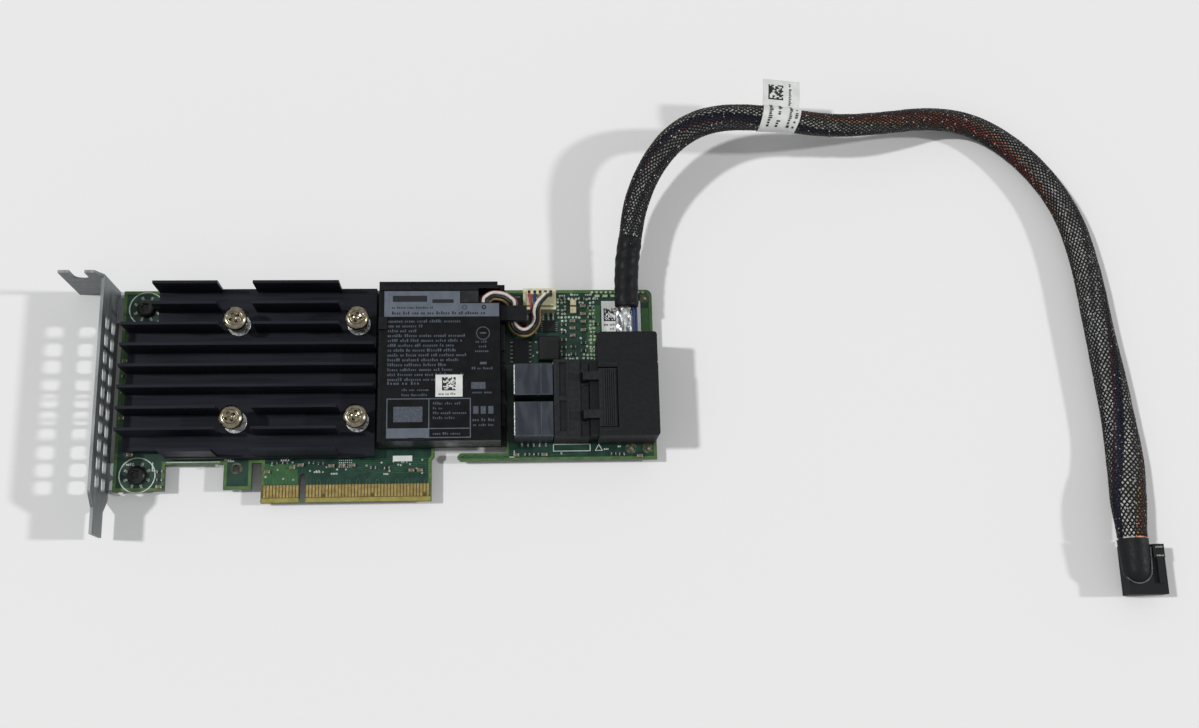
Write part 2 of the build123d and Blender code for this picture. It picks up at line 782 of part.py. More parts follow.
pad_west = plug_west + 0.15
pad_east = plug_west + 5.65
pad_south = plug_south + 3.0
pad_north = plug_split - 2.2
with BuildPart() as plug_body:
    with BuildSketch(level(plug_bottom)):
        field(plug_west, plug_east, plug_south, plug_split)
    extrude(amount=plug_top - plug_bottom)
    fillet(plug_body.edges().filter_by(Axis.Z).group_by(Axis.X)[-1], radius=1.0)
    with BuildSketch(level(11.9)):
        field(plug_west, pad_east + 0.3, pad_south - 0.3, pad_north + 0.3)
    extrude(amount=3, mode=Mode.SUBTRACT)
plug_body.part.label = "plug_body"
export_step(plug_body.part, "parts/plug_body.step")

with BuildPart() as plug_cap:
    with BuildSketch(level(plug_bottom)):
        field(plug_west, plug_east, plug_split, plug_north)
    extrude(amount=plug_top - 0.5 - plug_bottom)
    fillet(plug_cap.edges().filter_by(Axis.Z).group_by(Axis.Y)[-1], radius=1.0)
plug_cap.part.label = "plug_cap"
export_step(plug_cap.part, "parts/plug_cap.step")

# Latch that rocks on its middle: its pad goes down and its two hooks come up out of the windows
with BuildPart() as plug_latch:
    with BuildSketch(level(12.5)):
        field(pad_west, pad_east, pad_south, pad_north)
        for south, north in windows:
            field(window_west + 0.3, pad_west, south + 0.3, north - 0.3)
    extrude(amount=1.1)
    with BuildSketch(level(13.6)):
        for k in range(6):
            x = pad_west + 1.6 + 0.64 * k
            field(x - 0.18, x + 0.18, pad_south + 0.4, pad_north - 0.4)
    extrude(amount=0.35)
    with BuildSketch(level(9.7)):
        for south, north in windows:
            field(window_west + 0.3, window_west + 1.3, south + 0.3, north - 0.3)
    extrude(amount=2.8)
plug_latch.part.label = "plug_latch"
export_step(plug_latch.part, "parts/plug_latch.step")

# Cable: flat shielded pairs and thin side wires from the cap to the sleeve
with BuildPart() as cable_ribbons:
    with BuildSketch(wall_y(plug_north)):
        field(97.9, 100.2, 5.9, 7.3)
        field(100.6, 102.9, 5.9, 7.3)
    extrude(amount=-(cable_start_y - plug_north))
cable_ribbons.part.label = "cable_ribbons"
export_step(cable_ribbons.part, "parts/cable_ribbons.step")

with BuildPart() as side_wires:
    with BuildSketch(wall_y(plug_north)):
        with Locations((103.6, 6.0), (103.6, 7.2), (104.5, 6.6)):
            Circle(0.4)
    extrude(amount=-(cable_start_y - plug_north))
side_wires.part.label = "side_wires"
export_step(side_wires.part, "parts/side_wires.step")

# The cable's own route, from its sleeve at the near plug to the boot of the far plug
sleeve_run = run([
    (101.5, cable_start_y, 6.5),
    (101.5, 72.1, 6.5),
    (103.25, 83.3, 7.75),
])
braid_run = run([
    (103.25, 83.3, 7.75),
    (105.0, 94.5, 9.0),
    (110.2, 106.4, 12.2),
    (118.6, 116.4, 15.0),
    (131.0, 122.0, 16.0),
    (150.0, 122.2, 15.0),
    (170.2, 120.6, 12.0),
    (189.0, 123.8, 7.8),
    (206.5, 128.0, 3.3),
    (222.5, 127.0, 0.6),
    (236.0, 118.5, cable_rest),
    (246.6, 106.3, cable_rest),
    (253.6, 92.6, cable_rest),
    (257.2, 74.6, cable_rest),
    (258.8, 54.6, cable_rest),
    (261.4, 30.0, cable_rest),
    (262.6, 9.0, cable_rest),
    (boot_x, -4.2, boot_z),
    (boot_x, cable_end_y, boot_z),
])
with BuildPart() as cable_sleeve:
    with BuildLine() as sleeve_path:
        FilletPolyline(*sleeve_run, radius=turn_radii(sleeve_run))
    with BuildSketch(Plane(origin=sleeve_path.line @ 0, z_dir=sleeve_path.line % 0)):
        Circle(sleeve_radius)
    sweep()
cable_sleeve.part.label = "cable_sleeve"
export_step(cable_sleeve.part, "parts/cable_sleeve.step")

with BuildPart() as cable_braid:
    with BuildLine() as braid_path:
        FilletPolyline(*braid_run, radius=turn_radii(braid_run))
    with BuildSketch(Plane(origin=braid_path.line @ 0, z_dir=braid_path.line % 0)):
        Circle(braid_radius)
    sweep()
cable_braid.part.label = "cable_braid"
export_step(cable_braid.part, "parts/cable_braid.step")
for title, corners, path, solid, radius in (
    ("sleeve", sleeve_run, sleeve_path, cable_sleeve, sleeve_radius),
    ("braid", braid_run, braid_path, cable_braid, braid_radius),
):
    length = sum(edge.length for edge in path.edges())
    share = solid.part.volume / (pi * radius**2 * length)
    print(title, "radii", [round(r, 1) for r in turn_radii(corners)])
    print(title, "length", round(length, 1), "volume against section times length", round(share, 4))

# Label wrapped round the cable, with its two ends stuck together as a flag
label_place = 0.24
label_length = 12.4
label_axis = braid_path.line % label_place
label_start = braid_path.line @ label_place - label_axis * (label_length / 2)
print("label at", braid_path.line @ label_place - Vector(key_x, edge_y, top_z))
with BuildPart() as cable_label:
    with BuildSketch(Plane(origin=label_start, x_dir=(0, 0, 1), z_dir=label_axis)):
        Circle(braid_radius + 0.65)
        with Locations((0, -braid_radius - 4.6)):
            Rectangle(0.6, 9.4)
        Circle(braid_radius + 0.35, mode=Mode.SUBTRACT)
    extrude(amount=label_length)
cable_label.part.label = "cable_label"
export_step(cable_label.part, "parts/cable_label.step")

# Far plug, lying on the table: round boot and body in one piece, contact nose below, latch tab on top
far_south = -33.2
far_north = -17.6
boot_radii = (4.8, 4.2)
boot_axis = run([(boot_x, cable_end_y, boot_z), (boot_x, -25.4, boot_z)])
with BuildPart() as far_plug_body:
    with BuildSketch(level(-1.5)):
        field(257.0, 269.6, far_south, far_north)
    extrude(amount=5.5)
    for end, radius in zip(boot_axis, boot_radii):
        with BuildSketch(Plane(origin=end, z_dir=(0, -1, 0))):
            Circle(radius)
    loft()
    with Locations(boot_axis[1]):
        Sphere(boot_radii[1])
    with BuildSketch(level(-1.5)):
        field(boot_x - 6.0, boot_x + 6.0, far_south, cable_end_y + 1.0)
    extrude(amount=-4.0, mode=Mode.SUBTRACT)
far_plug_body.part.label = "far_plug_body"
export_step(far_plug_body.part, "parts/far_plug_body.step")

with BuildPart() as far_plug_nose:
    with BuildSketch(level(bracket_low)):
        field(259.2, 268.6, far_south + 1.4, far_north - 1.6)
    extrude(amount=-1.5 - bracket_low)
far_plug_nose.part.label = "far_plug_nose"
export_step(far_plug_nose.part, "parts/far_plug_nose.step")

with BuildPart() as far_plug_latch:
    with BuildSketch(level(4.0)):
        field(265.7, 269.3, -21.9, far_north)
        field(266.6, 268.4, -29.8, -21.9)
    extrude(amount=0.9)
far_plug_latch.part.label = "far_plug_latch"
export_step(far_plug_latch.part, "parts/far_plug_latch.step")

# Printed and plated marks on the board
with BuildPart() as board_pads:
    with BuildSketch(level(0)):
        with Locations((107.93, 65.41)):
            Circle(1.6)
        with Locations((102.18, 15.9)):
            Circle(1.8)
        with Locations((107.57, 15.9)):
            Circle(1.8)
        with Locations((pull_tab_hole[0], pull_tab_hole[1])):
            Circle(1.85)
            Circle(pull_tab_hole[2], mode=Mode.SUBTRACT)
        for x, y in bracket_holes:
            with Locations((x, y)):
                with PolarLocations(3.65, 8, start_angle=22.5):
                    Rectangle(1.2, 0.8)
    extrude(amount=0.05)
board_pads.part.label = "board_pads"
export_step(board_pads.part, "parts/board_pads.step")

with BuildPart() as board_print:
    with BuildSketch(level(0)):
        for x, y in bracket_holes:
            with Locations((x, y)):
                Circle(5.6)
                Circle(5.25, mode=Mode.SUBTRACT)
        with Locations((83.45, 16.25)):
            Rectangle(11.8, 2.4)
            Rectangle(11.3, 1.9, mode=Mode.SUBTRACT)
        with Locations((92.0, 15.9)):
            RegularPolygon(1.5, 3, rotation=90)
            RegularPolygon(1.05, 3, rotation=90, mode=Mode.SUBTRACT)
        field(-45.8, -45.5, 10.3, 13.1)
        field(-45.5, -44.4, 10.3, 10.6)
        field(65.2, 65.5, 13.3, 15.5)
        field(63.8, 65.2, 13.3, 13.6)
        field(70.3, 72.9, 42.4, 42.8)
    extrude(amount=0.03)
board_print.part.label = "board_print"
export_step(board_print.part, "parts/board_print.step")

with BuildPart() as board_label:
    with BuildSketch(level(0)):
        field(93.9, 106.6, 53.9, 64.4)
    extrude(amount=0.08)
board_label.part.label = "board_label"
export_step(board_label.part, "parts/board_label.step")

with BuildPart() as strip_sticker:
    with BuildSketch(level(0)):
        field(27.6, 33.6, 12.5, 14.3)
    extrude(amount=0.08)
strip_sticker.part.label = "strip_sticker"
export_step(strip_sticker.part, "parts/strip_sticker.step")

with BuildPart() as indicator_lights:
    with BuildSketch(level(0)):
        with Locations((92.6, 66.0), (95.2, 66.0), (97.8, 66.0)):
            Rectangle(1.6, 0.8)
    extrude(amount=0.6)
indicator_lights.part.label = "indicator_lights"
export_step(indicator_lights.part, "parts/indicator_lights.step")
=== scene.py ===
"""Dresses a low-profile drive controller card and its cable assembly on a pale studio floor.

Lengths are in millimetres. X and Y are measured from the middle of the key notch and the lower edge
of the gold contacts, heights from the board's top face. Shape.piece turns them into the row frame.
"""

import logging
import math
import random
from collections.abc import Callable, Sequence
from dataclasses import dataclass, field
from enum import Enum

import bpy
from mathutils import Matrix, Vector


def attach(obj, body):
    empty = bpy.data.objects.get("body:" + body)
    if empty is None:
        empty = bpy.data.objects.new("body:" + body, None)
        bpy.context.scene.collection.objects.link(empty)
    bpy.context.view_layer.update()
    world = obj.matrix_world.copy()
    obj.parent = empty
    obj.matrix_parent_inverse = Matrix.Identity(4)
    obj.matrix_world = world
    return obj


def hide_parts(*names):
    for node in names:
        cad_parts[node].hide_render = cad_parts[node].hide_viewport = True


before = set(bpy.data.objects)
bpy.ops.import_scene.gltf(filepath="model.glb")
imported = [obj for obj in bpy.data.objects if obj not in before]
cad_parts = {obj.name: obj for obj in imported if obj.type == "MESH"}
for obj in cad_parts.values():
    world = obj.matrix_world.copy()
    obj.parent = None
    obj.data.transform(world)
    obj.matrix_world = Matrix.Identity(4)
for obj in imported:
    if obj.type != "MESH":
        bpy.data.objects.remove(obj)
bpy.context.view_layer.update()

Spot = tuple[float, float]
Point = tuple[float, float, float]
Colour = tuple[float, float, float, float]

log = logging.getLogger("controller_card")
MM = 0.001
KEY = Vector((-18.92, -29.70, 4.3))
BOARD_THICKNESS = 1.57
INK = 0.012
FILM = 0.02


def at(x: float, y: float, z: float) -> Vector:
    """The row frame's point, in metres, for a place on the card."""
    return (Vector((x, y, z)) + KEY) * MM


def paint(red: int, green: int, blue: int) -> Colour:
    """Turns a colour on a screen into one for the shaders.

    Args:
        red: The red part, from 0 to 255.
        green: The green part.
        blue: The blue part.

    Returns:
        The colour, with full alpha.
    """
    parts = [v / 255 for v in (red, green, blue)]
    linear = [v / 12.92 if v <= 0.04045 else ((v + 0.055) / 1.055) ** 2.4 for v in parts]
    return (linear[0], linear[1], linear[2], 1.0)


# Effects


class Socket(Enum):
    """The kinds of socket that an effect takes and gives."""

    NUMBER = "NodeSocketFloat"
    VECTOR = "NodeSocketVector"


class Effect:
    """A shader node group with named inputs and outputs, built once for all finishes."""

    def __init__(self, name: str, inputs: dict[str, object], outputs: dict[str, Socket]) -> None:
        """Makes the empty group.

        Args:
            name: The group's name.
            inputs: Each input's name with its default, a number or three numbers.
            outputs: Each output's name with its kind.
        """
        self.tree = bpy.data.node_groups.new(name, "ShaderNodeTree")
        for title, value in inputs.items():
            kind = Socket.NUMBER if isinstance(value, float) else Socket.VECTOR
            socket = self.tree.interface.new_socket(title, in_out="INPUT", socket_type=kind.value)
            socket.default_value = value
        for title, kind in outputs.items():
            self.tree.interface.new_socket(title, in_out="OUTPUT", socket_type=kind.value)
        self.given = self.tree.nodes.new("NodeGroupInput").outputs
        self.result = self.tree.nodes.new("NodeGroupOutput").inputs

    def node(self, kind: str, **settings: object) -> bpy.types.Node:
        """Adds a node.

        Args:
            kind: Blender's name for the node.
            settings: The node's properties.

        Returns:
            The node.
        """
        made = self.tree.nodes.new(kind)
        for key, value in settings.items():
            setattr(made, key, value)
        return made

    def link(self, source: bpy.types.NodeSocket, target: bpy.types.NodeSocket) -> None:
        """Joins two sockets."""
        self.tree.links.new(source, target)

    def sum(self, operation: str, *values: object, clamp: bool = False) -> bpy.types.NodeSocket:
        """Adds a sum of numbers and sockets.

        Args:
            operation: Blender's name for the sum.
            values: What goes into it, in order, each a number or a socket.
            clamp: Whether the result stays between 0 and 1.

        Returns:
            The result's socket.
        """
        made = self.node("ShaderNodeMath", operation=operation, use_clamp=clamp)
        for target, value in zip(made.inputs, values):
            if isinstance(value, float):
                target.default_value = value
            else:
                self.link(value, target)
        return made.outputs[0]


def make_grain() -> Effect:
    """Makes a soft mottle for plastic, lacquer and metal.

    Returns:
        The effect, with a mask and a height.
    """
    effect = Effect(
        "surface_grain",
        {"Scale": 900.0, "Contrast": 1.0, "Stretch": (1.0, 1.0, 1.0)},
        {"Mask": Socket.NUMBER, "Height": Socket.NUMBER},
    )
    place = effect.node("ShaderNodeVectorMath", operation="MULTIPLY")
    effect.link(effect.node("ShaderNodeTexCoord").outputs["Object"], place.inputs[0])
    effect.link(effect.given["Stretch"], place.inputs[1])
    noise = effect.node("ShaderNodeTexNoise")
    noise.inputs["Detail"].default_value = 4.0
    effect.link(place.outputs[0], noise.inputs["Vector"])
    effect.link(effect.given["Scale"], noise.inputs["Scale"])
    centred = effect.sum("SUBTRACT", noise.outputs["Fac"], 0.5)
    spread = effect.sum("MULTIPLY", effect.given["Contrast"], 4.0)
    effect.link(effect.sum("MULTIPLY_ADD", centred, spread, 0.5, clamp=True), effect.result["Mask"])
    effect.link(noise.outputs["Fac"], effect.result["Height"])
    return effect


def make_edge_highlight() -> Effect:
    """Makes rounded edges, with a mask along them for a painted edge highlight.

    Returns:
        The effect, with a mask of the painted edge highlight and the normal that rounds it.
    """
    effect = Effect(
        "edge_highlight",
        {"Radius": 0.0002, "Amount": 1.0},
        {"Mask": Socket.NUMBER, "Normal": Socket.VECTOR},
    )
    bevel = effect.node("ShaderNodeBevel", samples=4)
    effect.link(effect.given["Radius"], bevel.inputs["Radius"])
    likeness = effect.node("ShaderNodeVectorMath", operation="DOT_PRODUCT")
    effect.link(bevel.outputs[0], likeness.inputs[0])
    effect.link(effect.node("ShaderNodeNewGeometry").outputs["True Normal"], likeness.inputs[1])
    # The mask grows where the rounded normal turns from the true one; the finishes paint a highlight there.
    turned = effect.sum("SUBTRACT", 1.0, likeness.outputs["Value"])
    effect.link(effect.sum("MULTIPLY", turned, effect.given["Amount"], clamp=True), effect.result["Mask"])
    effect.link(bevel.outputs[0], effect.result["Normal"])
    return effect


def make_dust_and_glints() -> Effect:
    """Makes small specks that lie about on a surface, used for dust and for painted highlights.

    Returns:
        The effect, with a mask.
    """
    effect = Effect("dust_and_glint_specks", {"Scale": 700.0, "Amount": 0.1}, {"Mask": Socket.NUMBER})
    cells = effect.node("ShaderNodeTexVoronoi")
    effect.link(effect.node("ShaderNodeTexCoord").outputs["Object"], cells.inputs["Vector"])
    effect.link(effect.given["Scale"], cells.inputs["Scale"])
    near = effect.sum("LESS_THAN", cells.outputs["Distance"], effect.given["Amount"])
    effect.link(near, effect.result["Mask"])
    return effect


GRAIN = make_grain()
EDGE_HIGHLIGHT = make_edge_highlight()
DUST_AND_GLINTS = make_dust_and_glints()


# Finishes


def own_material(
    name: str, fill: Callable[[bpy.types.Nodes, bpy.types.NodeLinks], None]
) -> bpy.types.Material:
    """Gives a finish its material, made the first time that it is asked for.

    Args:
        name: The finish's name.
        fill: Puts the finish's nodes into the new material.

    Returns:
        The material.
    """
    title = "finish_" + name
    if title not in bpy.data.materials:
        made = bpy.data.materials.new(title)
        made.use_nodes = True
        fill(made.node_tree.nodes, made.node_tree.links)
    return bpy.data.materials[title]


def placed(nodes: bpy.types.Nodes, effect: Effect, **values: object) -> bpy.types.Node:
    """Places an effect in a material.

    Args:
        nodes: The material's nodes.
        effect: The effect.
        values: Its inputs' values.

    Returns:
        The effect's node.
    """
    made = nodes.new("ShaderNodeGroup")
    made.node_tree = effect.tree
    for title, value in values.items():
        made.inputs[title].default_value = value
    return made


def mixed(
    nodes: bpy.types.Nodes,
    links: bpy.types.NodeLinks,
    mask: bpy.types.NodeSocket,
    below: Colour | bpy.types.NodeSocket,
    above: Colour,
) -> bpy.types.NodeSocket:
    """Lays a colour over another by a mask.

    Args:
        nodes: The material's nodes.
        links: The material's links.
        mask: Where the upper colour shows.
        below: The lower colour, or its socket.
        above: The upper colour.

    Returns:
        The mixed colour's socket.
    """
    mix = nodes.new("ShaderNodeMix")
    mix.data_type = "RGBA"
    links.new(mask, mix.inputs["Factor"])
    lower, upper = mix.inputs[6], mix.inputs[7]
    if isinstance(below, tuple):
        lower.default_value = below
    else:
        links.new(below, lower)
    upper.default_value = above
    return mix.outputs[2]


@dataclass(frozen=True)
class Finish:
    """A surface finish: two colours that its grain mixes, its gloss, its relief, its rounded edges and a
    painted highlight along them.
    """

    name: str
    colour: Colour
    shade: Colour
    roughness: float = 0.5
    spread: float = 0.08
    metallic: float = 0.0
    specular: float = 0.25
    grain: float = 900.0
    contrast: float = 1.0
    stretch: Point = (1.0, 1.0, 1.0)
    relief: float = 0.15
    depth: float = 0.02
    # edge is the colour of a painted highlight along rounded edges; on the solder mask it is the paler bare
    # laminate at the board's edge.
    edge: Colour = (0.2, 0.2, 0.2, 1.0)
    edge_radius: float = 0.2
    edge_amount: float = 0.0
    # speck is the colour of small specks: dust on the heat sink, painted highlights on the braid.
    speck: Colour = (0.3, 0.3, 0.3, 1.0)
    speck_amount: float = 0.0
    coat: float = 0.0
    coat_roughness: float = 0.15

    def material(self) -> bpy.types.Material:
        """The material for this finish."""
        return own_material(self.name, self._fill)

    def _fill(self, nodes: bpy.types.Nodes, links: bpy.types.NodeLinks) -> None:
        """Puts the finish into a new material.

        Args:
            nodes: The material's nodes.
            links: The material's links.
        """
        shader = nodes["Principled BSDF"]
        for title, value in (
            ("Metallic", self.metallic), ("Specular IOR Level", self.specular),
            ("Coat Weight", self.coat), ("Coat Roughness", self.coat_roughness),
        ):
            shader.inputs[title].default_value = value

        grain = placed(nodes, GRAIN, Scale=self.grain, Contrast=self.contrast, Stretch=self.stretch)
        edge_light = placed(nodes, EDGE_HIGHLIGHT, Radius=self.edge_radius * MM, Amount=self.edge_amount)
        colour = mixed(nodes, links, grain.outputs["Mask"], self.shade, self.colour)
        # Lays the edge colour along rounded edges as a painted highlight.
        if self.edge_amount:
            colour = mixed(nodes, links, edge_light.outputs["Mask"], colour, self.edge)
        # Lays the speck colour in small specks: dust on the heat sink, painted highlights on the braid.
        if self.speck_amount:
            specks = placed(nodes, DUST_AND_GLINTS, Amount=self.speck_amount)
            colour = mixed(nodes, links, specks.outputs["Mask"], colour, self.speck)
        links.new(colour, shader.inputs["Base Color"])

        rough = nodes.new("ShaderNodeMapRange")
        rough.inputs["To Min"].default_value = max(0.02, self.roughness - self.spread)
        rough.inputs["To Max"].default_value = min(1.0, self.roughness + self.spread)
        links.new(grain.outputs["Mask"], rough.inputs["Value"])
        links.new(rough.outputs[0], shader.inputs["Roughness"])
        bump = nodes.new("ShaderNodeBump")
        bump.inputs["Strength"].default_value = self.relief
        bump.inputs["Distance"].default_value = self.depth * MM
        links.new(grain.outputs["Height"], bump.inputs["Height"])
        links.new(edge_light.outputs["Normal"], bump.inputs["Normal"])
        links.new(bump.outputs[0], shader.inputs["Normal"])


@dataclass(frozen=True)
class PairsFinish:
    """The insulation of the pairs inside the braid, a colour for each band round the cable."""

    name: str = "cable_pairs"
    roughness: float = 0.4
    specular: float = 0.3
    patches: float = 430.0
    patch_contrast: float = 0.5
    patch_depth: float = 0.8
    bands: tuple[tuple[float, Colour], ...] = (
        (0.00, paint(216, 152, 122)), (0.06, paint(164, 152, 148)), (0.12, paint(206, 202, 198)),
        (0.22, paint(196, 198, 194)), (0.34, paint(150, 152, 150)), (0.40, paint(200, 202, 198)),
        (0.525, paint(124, 44, 52)), (0.555, paint(38, 46, 96)), (0.64, paint(240, 238, 232)),
        (0.78, paint(90, 138, 100)), (0.80, paint(230, 150, 110)), (0.90, paint(200, 92, 80)),
    )

    def material(self) -> bpy.types.Material:
        """The material for this finish."""
        return own_material(self.name, self._fill)

    def _fill(self, nodes: bpy.types.Nodes, links: bpy.types.NodeLinks) -> None:
        """Puts the bands, which follow the turn round the cable, into a new material.

        Args:
            nodes: The material's nodes.
            links: The material's links.
        """
        shader = nodes["Principled BSDF"]
        shader.inputs["Specular IOR Level"].default_value = self.specular
        shader.inputs["Roughness"].default_value = self.roughness
        place = nodes.new("ShaderNodeUVMap")
        place.uv_map = "around"
        parts = nodes.new("ShaderNodeSeparateXYZ")
        turn = nodes.new("ShaderNodeMath")
        turn.operation = "FRACT"
        ramp = nodes.new("ShaderNodeValToRGB")
        ramp.color_ramp.interpolation = "CONSTANT"
        for position, colour in self.bands[2:]:
            ramp.color_ramp.elements.new(position).color = colour
        for element, (position, colour) in zip(ramp.color_ramp.elements, self.bands):
            element.position, element.color = position, colour
        links.new(place.outputs[0], parts.inputs[0])
        links.new(parts.outputs["X"], turn.inputs[0])
        links.new(turn.outputs[0], ramp.inputs[0])
        patches = placed(nodes, GRAIN, Scale=self.patches, Contrast=self.patch_contrast)
        shaded = nodes.new("ShaderNodeMix")
        shaded.data_type, shaded.blend_type = "RGBA", "MULTIPLY"
        shaded.inputs["Factor"].default_value = self.patch_depth
        links.new(ramp.outputs[0], shaded.inputs[6])
        links.new(patches.outputs["Mask"], shaded.inputs[7])
        links.new(shaded.outputs[2], shader.inputs["Base Color"])


SOLDER_MASK = Finish(
    "solder_mask", paint(26, 58, 46), paint(18, 46, 38), roughness=0.38, grain=260,
    relief=0.1, edge=paint(70, 96, 56), edge_radius=0.35, edge_amount=1.5,
)
BARE_MARGIN = Finish("bare_margin", paint(80, 108, 64), paint(66, 92, 54), roughness=0.5, grain=500)
GROUND_AREA = Finish("ground_area", paint(54, 92, 52), paint(46, 82, 50), roughness=0.42, grain=400)
TRACE_GREEN = Finish("trace_green", paint(50, 92, 64), paint(40, 78, 56), roughness=0.35, grain=800)
PLATED_GOLD = Finish(
    "plated_gold", paint(156, 138, 90), paint(136, 119, 72), roughness=0.36, metallic=0.75,
    grain=700, contrast=0.8,
)
CONTACT_GAP = Finish("contact_gap", paint(84, 76, 38), paint(70, 63, 30), roughness=0.5)
CONTACT_TIP = Finish("contact_tip", paint(150, 141, 76), paint(132, 124, 64), roughness=0.5, grain=500)
SPRING_STEEL = Finish("spring_steel", paint(118, 118, 114), paint(84, 84, 80), roughness=0.3, metallic=1.0)
TIN = Finish(
    "tin", paint(152, 154, 148), paint(100, 102, 98), roughness=0.34, metallic=0.7, grain=2200,
    contrast=1.6, relief=0.4, depth=0.04,
)
VIA_CAP = Finish("via_cap", paint(208, 218, 202), paint(158, 174, 152), roughness=0.4, grain=1500)
PAD_OLIVE = Finish("pad_olive", paint(84, 88, 66), paint(52, 56, 42), roughness=0.4, grain=900, contrast=1.6)
RIM_GREY = Finish("rim_grey", paint(92, 94, 94), paint(58, 60, 60), roughness=0.35, specular=0.4, grain=500)
# Painted shade: flat dark pieces in holes and windows.
HOLE_SHADE = Finish("painted_hole_shade", paint(14, 18, 16), paint(8, 10, 9), roughness=0.7)
SILK_WHITE = Finish("silk_white", paint(206, 212, 204), paint(176, 184, 176), roughness=0.6, grain=1600)
BRACKET_STEEL = Finish(
    "bracket_steel", paint(136, 140, 142), paint(108, 112, 114), roughness=0.5, metallic=0.75,
    grain=420, stretch=(1.0, 0.25, 1.0), contrast=0.8, relief=0.12, edge=paint(196, 199, 200),
    edge_radius=0.15, edge_amount=1.2,
)
ANODISED = Finish(
    "black_anodised", paint(29, 30, 39), paint(20, 21, 28), roughness=0.46, specular=0.12,
    grain=700, stretch=(0.06, 1.0, 1.0), relief=0.12, edge=paint(58, 60, 66), edge_radius=0.12,
    edge_amount=0.8, speck=paint(60, 62, 68), speck_amount=0.03,
)
NICKEL = Finish(
    "nickel", paint(134, 127, 110), paint(104, 98, 83), roughness=0.24, metallic=1.0, grain=900,
    contrast=0.8, relief=0.12, depth=0.03,
)
BRIGHT_STEEL = Finish(
    "bright_steel", paint(222, 224, 224), paint(186, 188, 188), roughness=0.3, metallic=0.8,
    grain=1200, relief=0.1,
)
BLACK_SCREW = Finish(
    "black_screw", paint(18, 19, 21), paint(10, 11, 12), roughness=0.35, specular=0.3, grain=1200,
    edge=paint(96, 98, 102), edge_radius=0.12, edge_amount=0.7,
)
CHIP_BLACK = Finish(
    "chip_black", paint(28, 29, 31), paint(20, 21, 23), roughness=0.5, specular=0.15, grain=1800,
    edge=paint(84, 88, 92), edge_radius=0.12, edge_amount=1.0,
)
PAD_GREY = Finish("pad_grey", paint(130, 132, 136), paint(112, 114, 118), roughness=0.8)
TRAY_PLASTIC = Finish(
    "tray_plastic", paint(22, 23, 26), paint(16, 17, 19), roughness=0.5, specular=0.12,
    grain=500, edge=paint(74, 78, 86), edge_radius=0.3, edge_amount=0.9,
)
PACK_PLASTIC = Finish(
    "pack_plastic", paint(38, 39, 42), paint(28, 29, 32), roughness=0.36, specular=0.2,
    grain=500, edge=paint(64, 68, 74), edge_radius=0.4, edge_amount=0.7,
)
LABEL_DARK = Finish(
    "label_dark", paint(16, 17, 20), paint(12, 13, 16), roughness=0.45, specular=0.1, grain=300,
)
LABEL_HEADING = Finish(
    "label_heading", paint(94, 101, 111), paint(86, 93, 103), roughness=0.45, specular=0.2, grain=300,
)
PRINT_GREY = Finish("print_grey", paint(78, 84, 94), paint(60, 66, 75), roughness=0.5, grain=1500)
PRINT_DARK = Finish("print_dark", paint(24, 26, 30), paint(18, 20, 24), roughness=0.5, grain=1500)
LABEL_WHITE = Finish(
    "label_white", paint(214, 216, 214), paint(202, 204, 202), roughness=0.55, grain=300, relief=0.08,
)
PRINT_BLACK = Finish("print_black", paint(34, 34, 38), paint(22, 22, 26), roughness=0.55, grain=1500)
CREAM = Finish(
    "cream_plastic", paint(204, 200, 168), paint(184, 180, 148), roughness=0.4, grain=700,
    edge=paint(228, 226, 200), edge_radius=0.2, edge_amount=0.8,
)
FERRITE = Finish(
    "ferrite", paint(20, 21, 23), paint(12, 13, 14), roughness=0.6, grain=1200, contrast=1.5,
    edge=paint(80, 82, 84), edge_radius=0.15, edge_amount=1.0,
)
CERAMIC_TAN = Finish("ceramic_tan", paint(120, 104, 82), paint(100, 86, 68), roughness=0.5, grain=2000)
CERAMIC_DARK = Finish("ceramic_dark", paint(26, 26, 28), paint(18, 18, 20), roughness=0.45, grain=2000)
FILM_CREAM = Finish("film_cream", paint(190, 182, 152), paint(160, 150, 122), roughness=0.5, grain=1500)
CAGE_METAL = Finish(
    "cage_metal", paint(58, 62, 70), paint(44, 48, 55), roughness=0.42, metallic=0.35, specular=0.25,
    grain=420, stretch=(1.0, 0.2, 1.0), contrast=1.3, edge=paint(168, 172, 178), edge_radius=0.18,
    edge_amount=1.4,
)
PORT_PLASTIC = Finish(
    "port_plastic", paint(34, 36, 39), paint(26, 27, 30), roughness=0.5, specular=0.15, grain=800,
    edge=paint(78, 82, 86), edge_radius=0.2, edge_amount=0.9,
)
PLUG_PLASTIC = Finish(
    "plug_plastic", paint(25, 26, 28), paint(19, 20, 22), roughness=0.55, specular=0.14, grain=1100,
    relief=0.25, depth=0.04, edge=paint(64, 66, 70), edge_radius=0.25, edge_amount=0.8,
)
FOIL = Finish(
    "foil", paint(182, 185, 186), paint(96, 100, 104), roughness=0.26, metallic=0.8, grain=900,
    stretch=(1.0, 0.3, 1.0), contrast=1.8, relief=0.5, depth=0.15,
)
SLEEVE_RUBBER = Finish(
    "sleeve_rubber", paint(20, 21, 23), paint(13, 14, 16), roughness=0.5, specular=0.12, grain=500,
    relief=0.3, depth=0.08,
)
LENS = Finish("lens", paint(176, 198, 160), paint(150, 172, 134), roughness=0.2, coat=0.3, grain=900)
PAIRS = PairsFinish()
# Dark strands, with bright specks that are painted highlights.
BRAID = Finish(
    "braid_strands", paint(20, 21, 23), paint(9, 10, 11), roughness=0.3, specular=0.14, grain=1500,
    contrast=1.6, speck=paint(200, 202, 200), speck_amount=0.15,
)


def wire_finish(name: str, colour: Colour, shade: Colour) -> Finish:
    """A wire's insulation in one colour."""
    return Finish(name, colour, shade, roughness=0.38, specular=0.3, grain=900, contrast=0.8)


